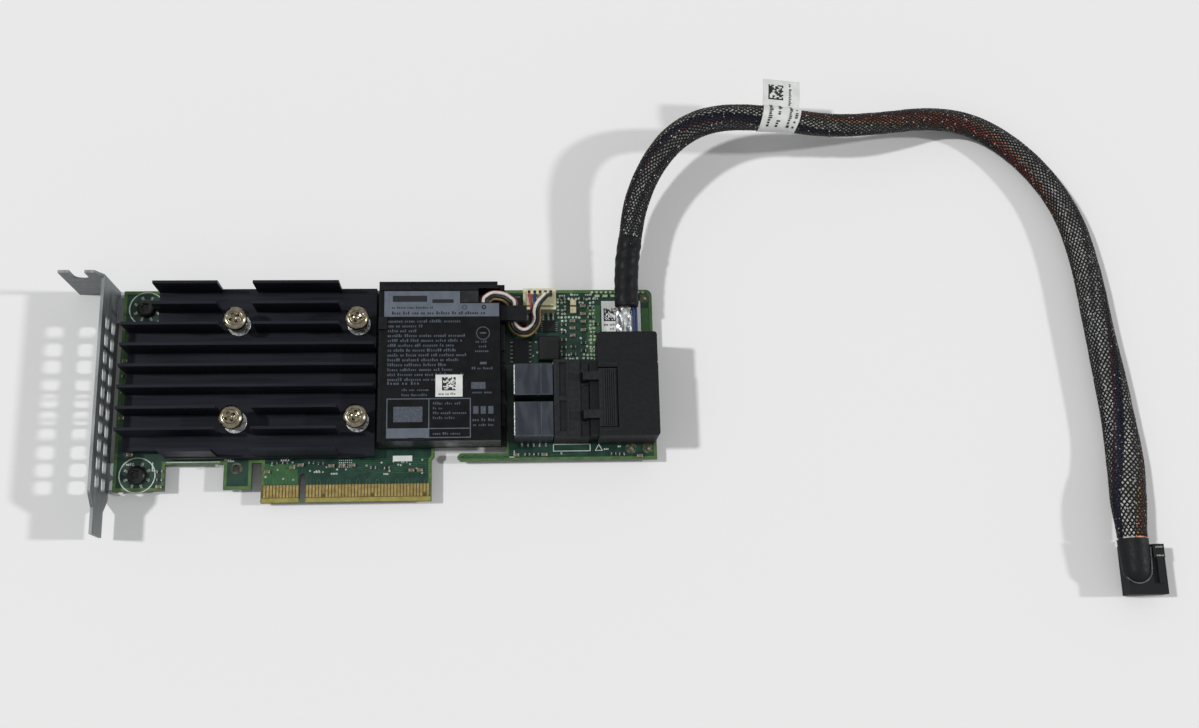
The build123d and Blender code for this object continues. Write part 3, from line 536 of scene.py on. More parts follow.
RED_WIRE = wire_finish("red_wire", paint(158, 66, 72), paint(124, 44, 50))
BLUE_WIRE = wire_finish("blue_wire", paint(30, 52, 98), paint(22, 40, 78))
YELLOW_WIRE = wire_finish("yellow_wire", paint(150, 128, 84), paint(120, 98, 62))
WHITE_WIRE = wire_finish("white_wire", paint(214, 212, 204), paint(186, 184, 176))
BLACK_WIRE = wire_finish("black_wire", paint(26, 26, 28), paint(16, 16, 18))


# Shapes


class Shape:
    """Vertices and faces of one piece, gathered in millimetres on the card."""

    def __init__(self) -> None:
        """Starts empty."""
        self.points: list[Point] = []
        self.faces: list[tuple[int, ...]] = []
        self.around: list[Spot] = []

    def loft(self, loops: Sequence[Sequence[Point]], closed: bool = True, capped: bool = True) -> None:
        """Joins rings of points, each as long as the last.

        Args:
            loops: The rings, in order.
            closed: Whether each ring joins its own start.
            capped: Whether the first and last rings are filled.
        """
        start, size = len(self.points), len(loops[0])
        for loop in loops:
            self.points.extend(tuple(p) for p in loop)
        for k in range(len(loops) - 1):
            for i in range(size if closed else size - 1):
                a, b = start + k * size + i, start + k * size + (i + 1) % size
                self.faces.append((a, b, b + size, a + size))
        if capped:
            self.faces.append(tuple(reversed(range(start, start + size))))
            last = start + (len(loops) - 1) * size
            self.faces.append(tuple(range(last, last + size)))

    def prism(self, outline: Sequence[Spot], low: float, high: float, ease: float = 0.0) -> None:
        """Raises an outline.

        Args:
            outline: The outline, anticlockwise from above.
            low: The height of its foot.
            high: The height of its top.
            ease: How far its top edge is cut back.
        """
        loops = [[(x, y, low) for x, y in outline], [(x, y, high - ease) for x, y in outline]]
        if ease:
            loops.append([(x, y, high) for x, y in inset(outline, ease)])
        self.loft(loops)

    def block(self, x: Spot, y: Spot, z: Spot, ease: float = 0.0) -> None:
        """A box between limits, with its top edge eased."""
        outline = [(x[0], y[0]), (x[1], y[0]), (x[1], y[1]), (x[0], y[1])]
        self.prism(outline, z[0], z[1], ease)

    def disc(self, middle: Spot, radius: float, z: Spot, ease: float = 0.0, sides: int = 20) -> None:
        """A round plate with its top edge eased."""
        self.prism(circle(middle, radius, sides), z[0], z[1], ease)

    def border(self, outer: Sequence[Spot], inner: Sequence[Spot], z: Spot) -> None:
        """A flat frame between two outlines with as many points."""
        rims = ((outer, z[0]), (outer, z[1]), (inner, z[1]), (inner, z[0]), (outer, z[0]))
        self.loft([[(x, y, level) for x, y in outline] for outline, level in rims], capped=False)

    def ring(self, middle: Spot, radii: Spot, z: Spot, sides: int = 40) -> None:
        """A flat ring between two radii."""
        self.border(circle(middle, radii[1], sides), circle(middle, radii[0], sides), z)

    def strip(self, path: Sequence[Spot], width: float, z: Spot) -> None:
        """A flat track along a path."""
        left, right = offset_path(path, width / 2), offset_path(path, -width / 2)
        self.prism(right + left[::-1], z[0], z[1])

    def piece(
        self, name: str, finish: Finish, slot: str, body: str = "card", angle: float = 35.0
    ) -> bpy.types.Object:
        """Turns the gathered faces into a piece of the object.

        Args:
            name: The piece's name.
            finish: Its finish.
            slot: The name of a material slot; not used.
            body: The body that it rides on.
            angle: Edges that turn by more than this many degrees stay sharp.

        Returns:
            The piece.
        """
        mesh = bpy.data.meshes.new(name)
        mesh.from_pydata([at(*p) for p in self.points], [], self.faces)
        mesh.polygons.foreach_set("use_smooth", [True] * len(mesh.polygons))
        mesh.set_sharp_from_angle(angle=math.radians(angle))
        if self.around:
            layer = mesh.uv_layers.new(name="around")
            for loop in mesh.loops:
                layer.data[loop.index].uv = self.around[loop.vertex_index]
        mesh.materials.append(finish.material())
        made = bpy.data.objects.new(name, mesh)
        bpy.context.scene.collection.objects.link(made)
        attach(made, body)
        log.info("%s: %d faces", name, len(mesh.polygons))
        return made


def circle(middle: Spot, radius: float, sides: int) -> list[Spot]:
    """Points of a circle, anticlockwise."""
    turns = [math.tau * k / sides for k in range(sides)]
    return [(middle[0] + radius * math.cos(t), middle[1] + radius * math.sin(t)) for t in turns]


def normals_along(path: Sequence[Spot], closed: bool) -> list[Spot]:
    """Finds the vectors to a path's left that keep an offset's width round corners.

    Args:
        path: The path.
        closed: Whether its end joins its start.

    Returns:
        The vector at each point of the path.
    """
    count = len(path)
    sides = []
    for k in range(count if closed else count - 1):
        (x0, y0), (x1, y1) = path[k], path[(k + 1) % count]
        length = math.hypot(x1 - x0, y1 - y0)
        sides.append((-(y1 - y0) / length, (x1 - x0) / length))
    found = []
    for k in range(count):
        before = sides[k - 1] if closed or k else sides[0]
        after = sides[k] if closed or k < count - 1 else sides[-1]
        scale = 1 / max(0.25, 1 + before[0] * after[0] + before[1] * after[1])
        found.append(((before[0] + after[0]) * scale, (before[1] + after[1]) * scale))
    return found


def inset(outline: Sequence[Spot], distance: float) -> list[Spot]:
    """An anticlockwise outline moved inwards."""
    sides = normals_along(outline, closed=True)
    return [(x + nx * distance, y + ny * distance) for (x, y), (nx, ny) in zip(outline, sides)]


def offset_path(path: Sequence[Spot], distance: float) -> list[Spot]:
    """An open path moved to its left."""
    sides = normals_along(path, closed=False)
    return [(x + nx * distance, y + ny * distance) for (x, y), (nx, ny) in zip(path, sides)]


def dress(finishes: dict[str, Finish]) -> None:
    """Gives CAD nodes their finishes.

    Args:
        finishes: Each node's name with its finish.
    """
    for node, finish in finishes.items():
        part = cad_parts[node]
        part.data.materials.clear()
        part.data.materials.append(finish.material())
        log.info("%s: %s", node, finish.name)


@dataclass(frozen=True)
class TypeRows:
    """Rows of small plain blocks that stand where print is, like type too small to read."""

    height: float = 0.8
    pitch: float = 0.62
    seed: int = 1

    def add(self, shape: Shape, start: Spot, length: float, level: float) -> None:
        """Adds one row.

        Args:
            shape: The shape that takes the blocks.
            start: The row's lower left corner.
            length: The row's length.
            level: The height of the surface that it is printed on.
        """
        dice = random.Random(self.seed + int(start[0] * 37) + int(start[1] * 101))
        place, word = 0.0, dice.randint(2, 7)
        while place < length - self.pitch:
            if word == 0:
                word = dice.randint(2, 8)
                place += 0.8 * self.pitch
                continue
            wide = self.pitch * dice.uniform(0.5, 0.78)
            tall = self.height * dice.choice((0.66, 0.66, 0.66, 1.0))
            x, y = start[0] + place, start[1]
            shape.block((x, x + wide), (y, y + tall), (level, level + INK))
            place += self.pitch
            word -= 1


def add_type(
    shape: Shape, level: float, rows: Sequence[tuple[float, float, int, float, float, float]]
) -> None:
    """Adds rows of type.

    Args:
        shape: The shape that takes them.
        level: The height of the surface that they are printed on.
        rows: Each row's height, pitch and seed, its lower left corner's X and Y, and its length.
    """
    for height, pitch, seed, x, y, length in rows:
        TypeRows(height, pitch, seed).add(shape, (x, y), length, level)


def code_block(
    shape: Shape, corner: Spot, size: float, level: float, seed: int, cells: int = 12, fill: float = 0.48
) -> None:
    """Adds a square of small random blocks in the place of a printed code.

    Args:
        shape: The shape that takes the blocks.
        corner: The square's lower left corner.
        size: The length of its side.
        level: The height of the surface that it is printed on.
        seed: What its pattern is drawn from.
        cells: How many blocks go along a side.
        fill: The share of the blocks that are there, apart from two full sides.
    """
    dice, cell = random.Random(seed), size / cells
    for row in range(cells):
        for column in range(cells):
            if row == 0 or column == 0 or dice.random() < fill:
                x, y = corner[0] + column * cell, corner[1] + row * cell
                shape.block((x, x + cell * 0.98), (y, y + cell * 0.98), (level, level + INK))


# Studio


@dataclass
class Studio:
    """The camera, the floor and the lights."""

    place: Point = (0.042783, -0.093423, 0.423930)
    turn: Point = (14.377, -3.890, -1.404)
    focal: float = 40.687
    sensor: float = 36.0
    clip: Spot = (0.01, 20.0)
    background: Colour = paint(232, 232, 232)
    floor_colour: Colour = (0.80, 0.80, 0.80, 1.0)
    floor_side: float = 3.0
    sky: float = 0.34
    sun_width: float = 3.5
    suns: tuple[tuple[str, float, Point], ...] = (
        ("west_sun", 1.72, (0.80, -0.05, -1.0)), ("east_sun", 1.46, (-1.55, 0.02, -1.0)),
    )

    def camera(self) -> None:
        """Places the camera and makes it the scene's."""
        lens = bpy.data.cameras.new("camera")
        lens.lens, lens.sensor_width = self.focal, self.sensor
        lens.clip_start, lens.clip_end = self.clip
        camera = bpy.data.objects.new("camera", lens)
        camera.location = self.place
        camera.rotation_euler = [math.radians(v) for v in self.turn]
        bpy.context.scene.collection.objects.link(camera)
        bpy.context.scene.camera = camera

    def floor(self) -> None:
        """A wide floor in matt pale paint, which keeps the shadows."""
        coat = bpy.data.materials.new("floor_paint")
        coat.use_nodes = True
        shader = coat.node_tree.nodes["Principled BSDF"]
        shader.inputs["Base Color"].default_value = self.floor_colour
        shader.inputs["Roughness"].default_value = 1.0
        shader.inputs["Specular IOR Level"].default_value = 0.0
        mesh, side = bpy.data.meshes.new("floor"), self.floor_side
        corners = [(-side, -side, 0), (side, -side, 0), (side, side, 0), (-side, side, 0)]
        mesh.from_pydata(corners, [], [(0, 1, 2, 3)])
        mesh.materials.append(coat)
        made = bpy.data.objects.new("floor", mesh)
        bpy.context.scene.collection.objects.link(made)

    def lights(self) -> None:
        """A soft even sky, seen as the plain background, and a distant lamp on each side."""
        world = bpy.data.worlds.new("studio")
        bpy.context.scene.world = world
        world.use_nodes = True
        nodes, links = world.node_tree.nodes, world.node_tree.links
        soft, seen = nodes["Background"], nodes.new("ShaderNodeBackground")
        for light, colour, strength in ((soft, (1.0, 1.0, 1.0, 1.0), self.sky), (seen, self.background, 1.0)):
            light.inputs["Color"].default_value = colour
            light.inputs["Strength"].default_value = strength
        rays = nodes.new("ShaderNodeLightPath").outputs
        shown = rays["Is Camera Ray"]
        for title in ("Is Glossy Ray", "Is Transmission Ray"):
            either = nodes.new("ShaderNodeMath")
            either.operation = "MAXIMUM"
            links.new(shown, either.inputs[0])
            links.new(rays[title], either.inputs[1])
            shown = either.outputs[0]
        mix = nodes.new("ShaderNodeMixShader")
        for source, target in zip((shown, soft.outputs[0], seen.outputs[0]), mix.inputs):
            links.new(source, target)
        links.new(mix.outputs[0], nodes["World Output"].inputs["Surface"])
        for name, strength, towards in self.suns:
            lamp = bpy.data.lights.new(name, "SUN")
            lamp.energy, lamp.angle = strength, math.radians(self.sun_width)
            made = bpy.data.objects.new(name, lamp)
            made.rotation_euler = Vector(towards).to_track_quat("-Z", "Y").to_euler()
            bpy.context.scene.collection.objects.link(made)

    def build(self) -> None:
        """Sets the view and makes the studio."""
        bpy.context.scene.view_settings.view_transform = "Standard"
        self.camera()
        self.floor()
        self.lights()


# Cable


def squared(value: float) -> float:
    """A sine or cosine bulged outwards, which makes a circle squarer."""
    return math.copysign(abs(value) ** 0.6, value)


@dataclass
class Cable:
    """The braided cable with its sleeve, its wires at the near plug, its label and its far plug.

    The girths are half widths and half heights at distances along the cable.
    """

    route: list[Point] = field(default_factory=lambda: [
        (101.5, 60.1, 6.5), (101.5, 72.1, 6.5), (103.25, 83.3, 7.75), (105.0, 94.5, 9.0),
        (110.2, 106.4, 12.2), (118.6, 116.4, 15.0), (131.0, 122.0, 16.0), (150.0, 122.2, 15.0),
        (170.2, 120.6, 12.0), (189.0, 123.8, 7.8), (206.5, 128.0, 3.3), (222.5, 127.0, 0.6),
        (236.0, 118.5, 0.0), (246.6, 106.3, 0.0), (253.6, 92.6, 0.0), (257.2, 74.6, 0.0),
        (258.8, 54.6, 0.0), (261.4, 30.0, 0.0), (262.6, 9.0, 0.0), (260.3, -4.2, 3.0),
        (260.3, -15.9, 3.0),
    ])
    sleeve_length: float = 23.4
    core_radius: float = 2.9
    girths: tuple[Point, ...] = (
        (0.0, 3.5, 3.5), (23.0, 3.55, 3.5), (40.0, 3.9, 3.6), (62.0, 4.3, 3.8), (84.0, 4.1, 3.8),
        (100.0, 3.7, 3.7), (125.0, 3.5, 3.6), (165.0, 3.5, 3.8), (200.0, 3.9, 4.05), (225.0, 4.3, 4.05),
        (250.0, 4.6, 4.05), (280.0, 5.2, 4.05), (300.0, 5.9, 4.05), (310.0, 5.7, 4.05), (324.0, 4.5, 4.2),
    )
    strands: int = 22
    lay: float = 42.0
    strand_turn: float = 0.062
    strand_lift: float = 0.10
    strand_weave: float = 0.07
    strand_thickness: float = 0.09
    lobes: int = 8
    lobe_height: float = 0.3
    bundle_depth: float = 0.4
    band_turn: float = 206.0
    sleeve_lift: float = 0.28
    sleeve_tuck: float = 0.35
    crease_depth: float = 0.045
    flat_length: float = 14.0
    label_from: float = 89.8
    label_length: float = 12.4
    label_lean: float = 0.9
    label_lifts: Spot = (0.3, 0.5)
    flag_reach: float = 9.6
    flag_rise: float = 1.1
    foil_from: float = 50.3
    foil_length: float = 10.2
    foil_middle: Spot = (100.4, 6.6)
    foil_half: Spot = (2.55, 0.78)
    boot: Spot = (260.3, -25.2)
    boot_radius: float = 4.5

    def spline(self, name: str) -> bpy.types.Object:
        """Makes the route a smooth curve with the listed points.

        Args:
            name: The curve's name.

        Returns:
            The curve.
        """
        curve = bpy.data.curves.new(name, "CURVE")
        curve.dimensions, curve.resolution_u = "3D", 24
        line = curve.splines.new("NURBS")
        line.points.add(len(self.route) - 1)
        for point, place in zip(line.points, self.route):
            point.co = (*at(*place), 1.0)
        line.order_u = 3
        line.use_endpoint_u = True
        made = bpy.data.objects.new(name, curve)
        bpy.context.scene.collection.objects.link(made)
        return made

    def read_line(self, made: bpy.types.Object) -> None:
        """Keeps the points that a curve's own line goes through, and the distance along it.

        Args:
            made: The curve, still without a thickness.
        """
        bpy.context.view_layer.update()
        mesh = bpy.data.meshes.new_from_object(made)
        self.line = [Vector(v.co) / MM - KEY for v in mesh.vertices]
        bpy.data.meshes.remove(mesh)
        self.along = [0.0]
        for a, b in zip(self.line, self.line[1:]):
            self.along.append(self.along[-1] + (b - a).length)

    def station(self, distance: float) -> tuple[Vector, Vector, Vector, Vector]:
        """Finds a place on the cable.

        Args:
            distance: How far along the cable.

        Returns:
            The place, its direction, the vector to its side and the vector upwards.
        """
        distance = min(max(distance, 0.0), self.along[-1] - 1e-4)
        low, high = 0, len(self.along) - 1
        while high - low > 1:
            middle = (low + high) // 2
            low, high = (middle, high) if self.along[middle] <= distance else (low, middle)
        share = (distance - self.along[low]) / (self.along[high] - self.along[low])
        place = self.line[low].lerp(self.line[high], share)
        ahead = self.line[min(high + 2, len(self.line) - 1)]
        behind = self.line[max(low - 2, 0)]
        direction = (ahead - behind).normalized()
        side = direction.cross(Vector((0, 0, 1))).normalized()
        return place, direction, side, side.cross(direction)

    def girth(self, distance: float) -> Spot:
        """Eases from one of the girths to the next.

        Args:
            distance: How far along the cable.

        Returns:
            Half the cable's width and half its height.
        """
        for (s0, w0, h0), (s1, w1, h1) in zip(self.girths, self.girths[1:]):
            if distance <= s1:
                t = max(0.0, (distance - s0) / (s1 - s0))
                t = t * t * (3 - 2 * t)
                return w0 + (w1 - w0) * t, h0 + (h1 - h0) * t
        return self.girths[-1][1:]

    def skin(self, distance: float, turn: float, lift: float) -> Point:
        """A point on the cable's oval skin.

        Args:
            distance: How far along the cable.
            turn: The angle round it from its side, in radians.
            lift: How far off the skin.

        Returns:
            The point.
        """
        place, _, side, up = self.station(distance)
        wide, high = self.girth(distance)
        return tuple(place + side * ((wide + lift) * math.cos(turn)) + up * ((high + lift) * math.sin(turn)))

    @staticmethod
    def steps(start: float, end: float, step: float) -> list[float]:
        """Divides a stretch of the cable evenly.

        Args:
            start: Where the stretch starts.
            end: Where it ends.
            step: About how far apart the distances are.

        Returns:
            The distances along the cable, both ends too.
        """
        count = int((end - start) / step)
        return [start + (end - start) * n / count for n in range(count + 1)]

    def braid(self) -> bpy.types.Object:
        """Weaves flat strands that wind both ways and pass over and under each other.

        Returns:
            The piece.
        """
        shape = Shape()
        places = self.steps(self.sleeve_length - 3.0, self.along[-1] - 0.6, step=1.1)
        for way in (1, -1):
            for k in range(self.strands):
                left, right = [], []
                for distance in places:
                    turn = math.tau * (way * distance / self.lay + k / self.strands)
                    crossing = distance / self.lay * 2 * self.strands + k
                    lift = self.strand_lift + way * self.strand_weave * math.sin(math.pi * crossing)
                    left.append(self.skin(distance, turn - self.strand_turn, lift))
                    right.append(self.skin(distance, turn + self.strand_turn, lift))
                shape.loft([left, right], closed=False, capped=False)
        made = shape.piece("cable_braid_strands", BRAID, "braid_fabric", angle=60)
        thicken = made.modifiers.new("strand_thickness", "SOLIDIFY")
        thicken.thickness = self.strand_thickness * MM
        thicken.offset = 0.0
        return made

    def bundle(self, sides: int = 56) -> bpy.types.Object:
        """Makes the insulated pairs under the braid, as one lobed skin with a colour for each pair.

        Args:
            sides: How many sides the skin has.

        Returns:
            The piece.
        """
        shape, loops = Shape(), []
        for distance in self.steps(self.sleeve_length - 4.0, self.along[-1] - 0.2, step=1.6):
            loop = []
            for i in range(sides):
                share = i / sides - 0.25
                band = share + distance / self.band_turn
                lobe = self.lobe_height * abs(math.sin(self.lobes * math.pi * band))
                loop.append(self.skin(distance, math.tau * share, lobe - self.bundle_depth))
                shape.around.append((band, distance / 100))
            loops.append(loop)
        shape.loft(loops)
        return shape.piece("cable_pairs", PAIRS, "braid_fabric", angle=80)

    def sleeve(self, sides: int = 48, rings: int = 48) -> bpy.types.Object:
        """Makes the shrunk black sleeve, a little creased, from the wires to the braid.

        Args:
            sides: How many sides it has.
            rings: How many steps it is made in.

        Returns:
            The piece.
        """
        shape, dice, loops = Shape(), random.Random(5), []
        waves = [(dice.uniform(0.6, 2.2), dice.uniform(0, 6.3), dice.randint(2, 5)) for _ in range(6)]
        for n in range(rings + 1):
            distance = self.sleeve_length * n / rings
            lift = self.sleeve_lift - (self.sleeve_tuck if n in (0, rings) else 0.0)
            loop = []
            for i in range(sides):
                turn = math.tau * i / sides
                crease = sum(math.sin(a * distance + b + c * turn) for a, b, c in waves)
                flat = 0.35 * math.sin(turn) ** 2 * max(0.0, 1 - distance / self.flat_length)
                loop.append(self.skin(distance, turn, lift + self.crease_depth * crease - flat))
            loops.append(loop)
        shape.loft(loops)
        return shape.piece("cable_sleeve_skin", SLEEVE_RUBBER, "sleeve_rubber", angle=60)

    def label_spot(self, reach: float, share: float, lift: float) -> Point:
        """A place on the label, which goes over the cable and on past it as a flag.

        Args:
            reach: The distance from the cable's top towards the flag's end, or, below 0, the other way.
            share: How far along the cable, from -0.5 to 0.5 of the label's length.
            lift: How far off the label's lower face.

        Returns:
            The point.
        """
        middle = self.label_from + self.label_length / 2
        wide, _ = self.girth(middle)
        distance = middle + share * self.label_length
        if reach < wide:
            turn = math.pi / 2 + math.asin(max(-0.97, min(0.97, reach / wide)))
            return self.skin(distance - self.label_lean * math.cos(turn), turn, self.label_lifts[0] + lift)
        place, direction, side, up = self.station(middle)
        rise = self.flag_rise * math.sin(min(1.0, (reach - wide) / self.flag_reach) * 2.2) + lift
        ahead = distance - middle + self.label_lean
        return tuple(place - side * (reach + 0.1) + up * rise + direction * ahead)

    def label_band(self) -> bpy.types.Object:
        """Makes the part of the label that goes round the cable.

        Returns:
            The piece.
        """
        shape = Shape()
        turns = [math.tau * i / 40 for i in range(40)]
        places = [self.label_from + self.label_length * n / 8 for n in range(9)]
        inside, outside = (
            [[self.skin(d - self.label_lean * math.cos(t), t, lift) for t in turns] for d in places]
            for lift in self.label_lifts
        )
        shape.loft([*inside, *outside[::-1], inside[0]], capped=False)
        return shape.piece("cable_label_band", LABEL_WHITE, "label_white")

    def label_flag(self) -> bpy.types.Object:
        """Makes the label's two ends, stuck together.

        Returns:
            The piece.
        """
        shape, rims, cells = Shape(), [], 6
        wide, _ = self.girth(self.label_from + self.label_length / 2)
        reaches = [wide + self.flag_reach * j / cells for j in range(cells + 1)]
        shares = [i / cells - 0.5 for i in range(cells + 1)]
        for lift in (0.0, 0.3):
            rows = [[self.label_spot(reach, share, lift) for share in shares] for reach in reaches]
            shape.loft(rows, closed=False, capped=False)
            rims.append([row[0] for row in rows] + rows[-1][1:] + [row[-1] for row in rows[-2::-1]])
        shape.loft(rims, closed=False, capped=False)
        return shape.piece("cable_label_flag", LABEL_WHITE, "label_white")

    def label_print(self) -> bpy.types.Object:
        """Makes the label's rows of small blocks and its square block.

        Returns:
            The piece.
        """
        shape, dice, cells, cell = Shape(), random.Random(9), 11, 0.46
        for share, end, tall in ((-0.34, 4.6, 1.2), (-0.10, 4.4, 1.2), (0.20, 12.4, 0.9), (0.36, 2.2, 0.9)):
            reach = -3.2
            while reach < end:
                size = dice.uniform(0.3, 0.5)
                if dice.random() > 0.16:
                    self._mark(shape, reach, share, size, tall * dice.choice((0.66, 0.66, 1.0)))
                reach += size + 0.22
        for i in range(cells):
            for j in range(cells):
                if i == 0 or j == 0 or dice.random() < 0.5:
                    self._mark(shape, 6.4 + cell * i, -0.36 + 0.037 * j, cell, cell)
        return shape.piece("cable_label_print", PRINT_BLACK, "label_print")

    def _mark(self, shape: Shape, reach: float, share: float, long: float, wide: float) -> None:
        """Adds a small flat block to the label.

        Args:
            shape: The shape that takes it.
            reach: Where it starts, as label_spot counts it.
            share: Where it starts along the cable, as label_spot counts it.
            long: Its size towards the flag's end.
            wide: Its size along the cable.
        """
        step = wide / self.label_length
        corners = ((reach, share), (reach + long, share), (reach + long, share + step), (reach, share + step))
        shape.loft([[self.label_spot(a, b, lift) for a, b in corners] for lift in (0.32, 0.335)])

    def foil(self, sides: int = 36, rings: int = 32) -> bpy.types.Object:
        """Makes the creased foil round the flat pairs.

        Args:
            sides: How many sides it has.
            rings: How many steps it is made in.

        Returns:
            The piece.
        """
        shape, dice, loops = Shape(), random.Random(3), []
        for n in range(rings + 1):
            y = self.foil_from + self.foil_length * n / rings
            loop = []
            for i in range(sides):
                turn = math.tau * i / sides
                across = self.foil_half[0] * squared(math.cos(turn))
                up = self.foil_half[1] * squared(math.sin(turn))
                crease = 0.16 * math.sin(1.7 * y + 2.2 * across) + dice.uniform(-0.09, 0.09)
                x, z = self.foil_middle
                loop.append((x + across, y, z + up + crease * abs(math.sin(turn))))
            loops.append(loop)
        shape.loft(loops)
        made = shape.piece("cable_foil", FOIL, "foil", angle=20)
        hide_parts("cable_ribbons")
        return made

    def far_plug(self) -> list[bpy.types.Object]:
        """Makes the pale grey rim where the boot meets the far plug, and the metal of its latch.

        Returns:
            The pieces.
        """
        rim, metal = Shape(), Shape()
        x, y = self.boot
        turns = [math.pi * k / 16 for k in range(3, 17)]
        arc = [(x - self.boot_radius * math.cos(t), y - self.boot_radius * math.sin(t)) for t in turns]
        rim.strip([*arc, (x + 4.85, y + 6.8)], 0.42, (4.0, 4.5))
        for across, along in (((266.3, 268.7), (-18.8, -18.3)), ((266.6, 269.0), (-21.5, -21.0))):
            metal.block(across, along, (4.9, 5.1), ease=0.05)
        dress({node: PLUG_PLASTIC for node in ("far_plug_body", "far_plug_nose", "far_plug_latch")})
        return [
            rim.piece("far_plug_rim", RIM_GREY, "plug_plastic"),
            metal.piece("far_plug_metal", TIN, "tin"),
        ]

    def build(self) -> None:
        core = self.spline("cable_core")
        self.read_line(core)
        core.data.bevel_depth = self.core_radius * MM
        core.data.bevel_resolution = 6
        core.data.use_fill_caps = True
        core.data.materials.append(PAIRS.material())
        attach(core, "card")
        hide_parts("cable_braid")
        log.info("cable_core: %.1f mm long", self.along[-1])
        sleeve = self.sleeve()
        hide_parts("cable_sleeve")
        band = self.label_band()
        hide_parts("cable_label")
        label = [band, self.label_flag(), self.label_print()]
        pieces = [self.bundle(), self.braid(), sleeve, *label, self.foil(), *self.far_plug()]
        dress({"side_wires": BLUE_WIRE})


# Board


@dataclass
class Board:
    """The circuit board with its plating, its tracks, its print and its small parts."""

    outline: list[Spot] = field(default_factory=lambda: [
        (-57.4, 4.2), (-41.9, 4.2), (-41.9, 12.3), (-24.1, 12.3), (-24.1, 4.35), (-15.6, 4.35),
        (-15.6, 12.5), (-12.6, 12.5), (-12.6, 0.0), (39.6, 0.0), (39.6, 12.9), (40.5, 13.9),
        (40.5, 20.5), (62.6, 20.5), (62.6, 14.85), (48.5, 14.85), (47.6, 13.95), (47.6, 13.2),
        (48.5, 12.3), (110.4, 12.3), (110.4, 66.6), (108.8, 68.2), (-57.4, 68.2),
    ])
    margin: float = 1.0
    key_half: float = 1.05
    contact_ends: Spot = (-12.3, 39.3)
    bevel_top: float = 1.45
    contact_top: float = 5.55
    mark_lift: float = 0.03
    label_level: float = 0.08
    pull_tab_hole: Spot = (-20.2, 10.88)
    tooling_holes: tuple[Point, ...] = ((107.93, 65.41, 1.6), (102.18, 15.9, 1.8), (107.57, 15.9, 1.8))
    crowded: tuple[tuple[Spot, Spot], ...] = (
        ((83.0, 86.6), (59.4, 65.2)), ((80.2, 83.0), (45.6, 57.4)), ((83.0, 86.0), (45.8, 58.6)),
        ((86.5, 89.4), (46.9, 63.4)), ((73.0, 80.4), (43.8, 58.0)), ((64.0, 71.6), (43.0, 52.0)),
    )
    scattered: tuple[tuple[int, Spot, Spot], ...] = (
        (16, (2.0, 38.0), (8.4, 13.0)), (26, (64.0, 92.0), (43.0, 60.0)), (7, (-11.8, -1.6), (7.0, 13.0)),
    )

    def edge_margin(self) -> None:
        """The paler strip along the board's edge, where no copper lies under the lacquer."""
        shape = Shape()
        shape.border(self.outline, inset(self.outline, self.margin), (0.0, INK))
        shape.piece("board_margin", BARE_MARGIN, "board")

    def copper_areas(self) -> None:
        """Areas where bare laminate shows paler through the lacquer."""
        shape = Shape()
        for x, y in (
            ((89.0, 93.4), (46.0, 63.0)), ((-12.3, -1.6), (5.7, 12.2)), ((-56.6, -54.6), (20.0, 54.0)),
            ((49.5, 62.0), (13.3, 14.3)), ((93.0, 109.0), (50.9, 53.2)), ((106.9, 109.2), (54.0, 62.0)),
        ):
            shape.block(x, y, (0.0, 0.01))
        shape.piece("board_pale_areas", GROUND_AREA, "board")

    def tracks(self) -> None:
        """Tracks under the lacquer: fans above the contacts, pairs along the board, and bundles."""
        shape, dice, flat = Shape(), random.Random(11), (0.0, FILM)
        for x in (-(1.5 + k) for k in range(11)):
            shape.strip([(x, 5.4), (x, dice.uniform(7.2, 10.8))], 0.22, flat)
        for k in range(38):
            x, rest = 1.5 + k, (1 + k) % 3
            if rest:
                lean = 0.45 if rest == 1 else -0.45
                shape.strip([(x, 5.4), (x, 6.5), (x + lean, 7.2), (x + lean, 7.9)], 0.2, flat)
        for k in range(9):
            y = 9.0 + 0.55 * k
            start = dice.uniform(14, 20)
            while start < 38:
                end = min(38.6, start + dice.uniform(3, 12))
                shape.strip([(start, y), (end, y)], 0.2, flat)
                start = end + dice.uniform(0.8, 2.2)
        for k in range(7):
            x = 94.0 + 0.6 * k
            shape.strip([(x, 66.6), (x, 65.4 - 0.2 * k)], 0.2, flat)
        for k in range(6):
            y = 13.0 + 0.25 * k
            shape.strip([(49.5, y), (63.0 + 5 * k, y)], 0.12, flat)
        for k in range(5):
            y = 14.6 + 0.45 * k
            shape.strip([(-14.0, y), (21.0, y)], 0.18, flat)
        shape.piece("board_tracks", TRACE_GREEN, "board")

    def via_places(self, gap: float = 0.75) -> list[Spot]:
        """Finds where vias go: close together beside the battery connector, loose elsewhere.

        Args:
            gap: How far apart their middles are at least.

        Returns:
            The places.
        """
        dice, places = random.Random(21), []
        for i in range(11):
            for j in range(17):
                x, y = 79.9 + 1.15 * i, 45.2 + 1.25 * j
                free = all(not (a < x < b and c < y < d) for (a, b), (c, d) in self.crowded)
                if free and dice.random() < 0.92:
                    places.append((x + dice.uniform(-0.15, 0.15), y + dice.uniform(-0.15, 0.15)))
        for count, across, along in self.scattered:
            places += [(dice.uniform(*across), dice.uniform(*along)) for _ in range(count)]
        places += [(91.0 + 1.5 * k, 67.4) for k in range(12)]
        kept: list[Spot] = []
        for x, y in places:
            if all(math.hypot(x - a, y - b) > gap for a, b in kept):
                kept.append((x, y))
        return kept

    def vias(self) -> None:
        """Plated through holes, with painted shade as their small dark middles."""
        rings, holes = Shape(), Shape()
        for x, y in self.via_places():
            rings.disc((x, y), 0.39 if x > 79.0 else 0.3, (0.0, 0.025), sides=10)
            holes.disc((x, y), 0.11, (0.02, 0.03), sides=8)
        rings.piece("board_vias", VIA_CAP, "tin")
        holes.piece("board_via_holes", HOLE_SHADE, "board")

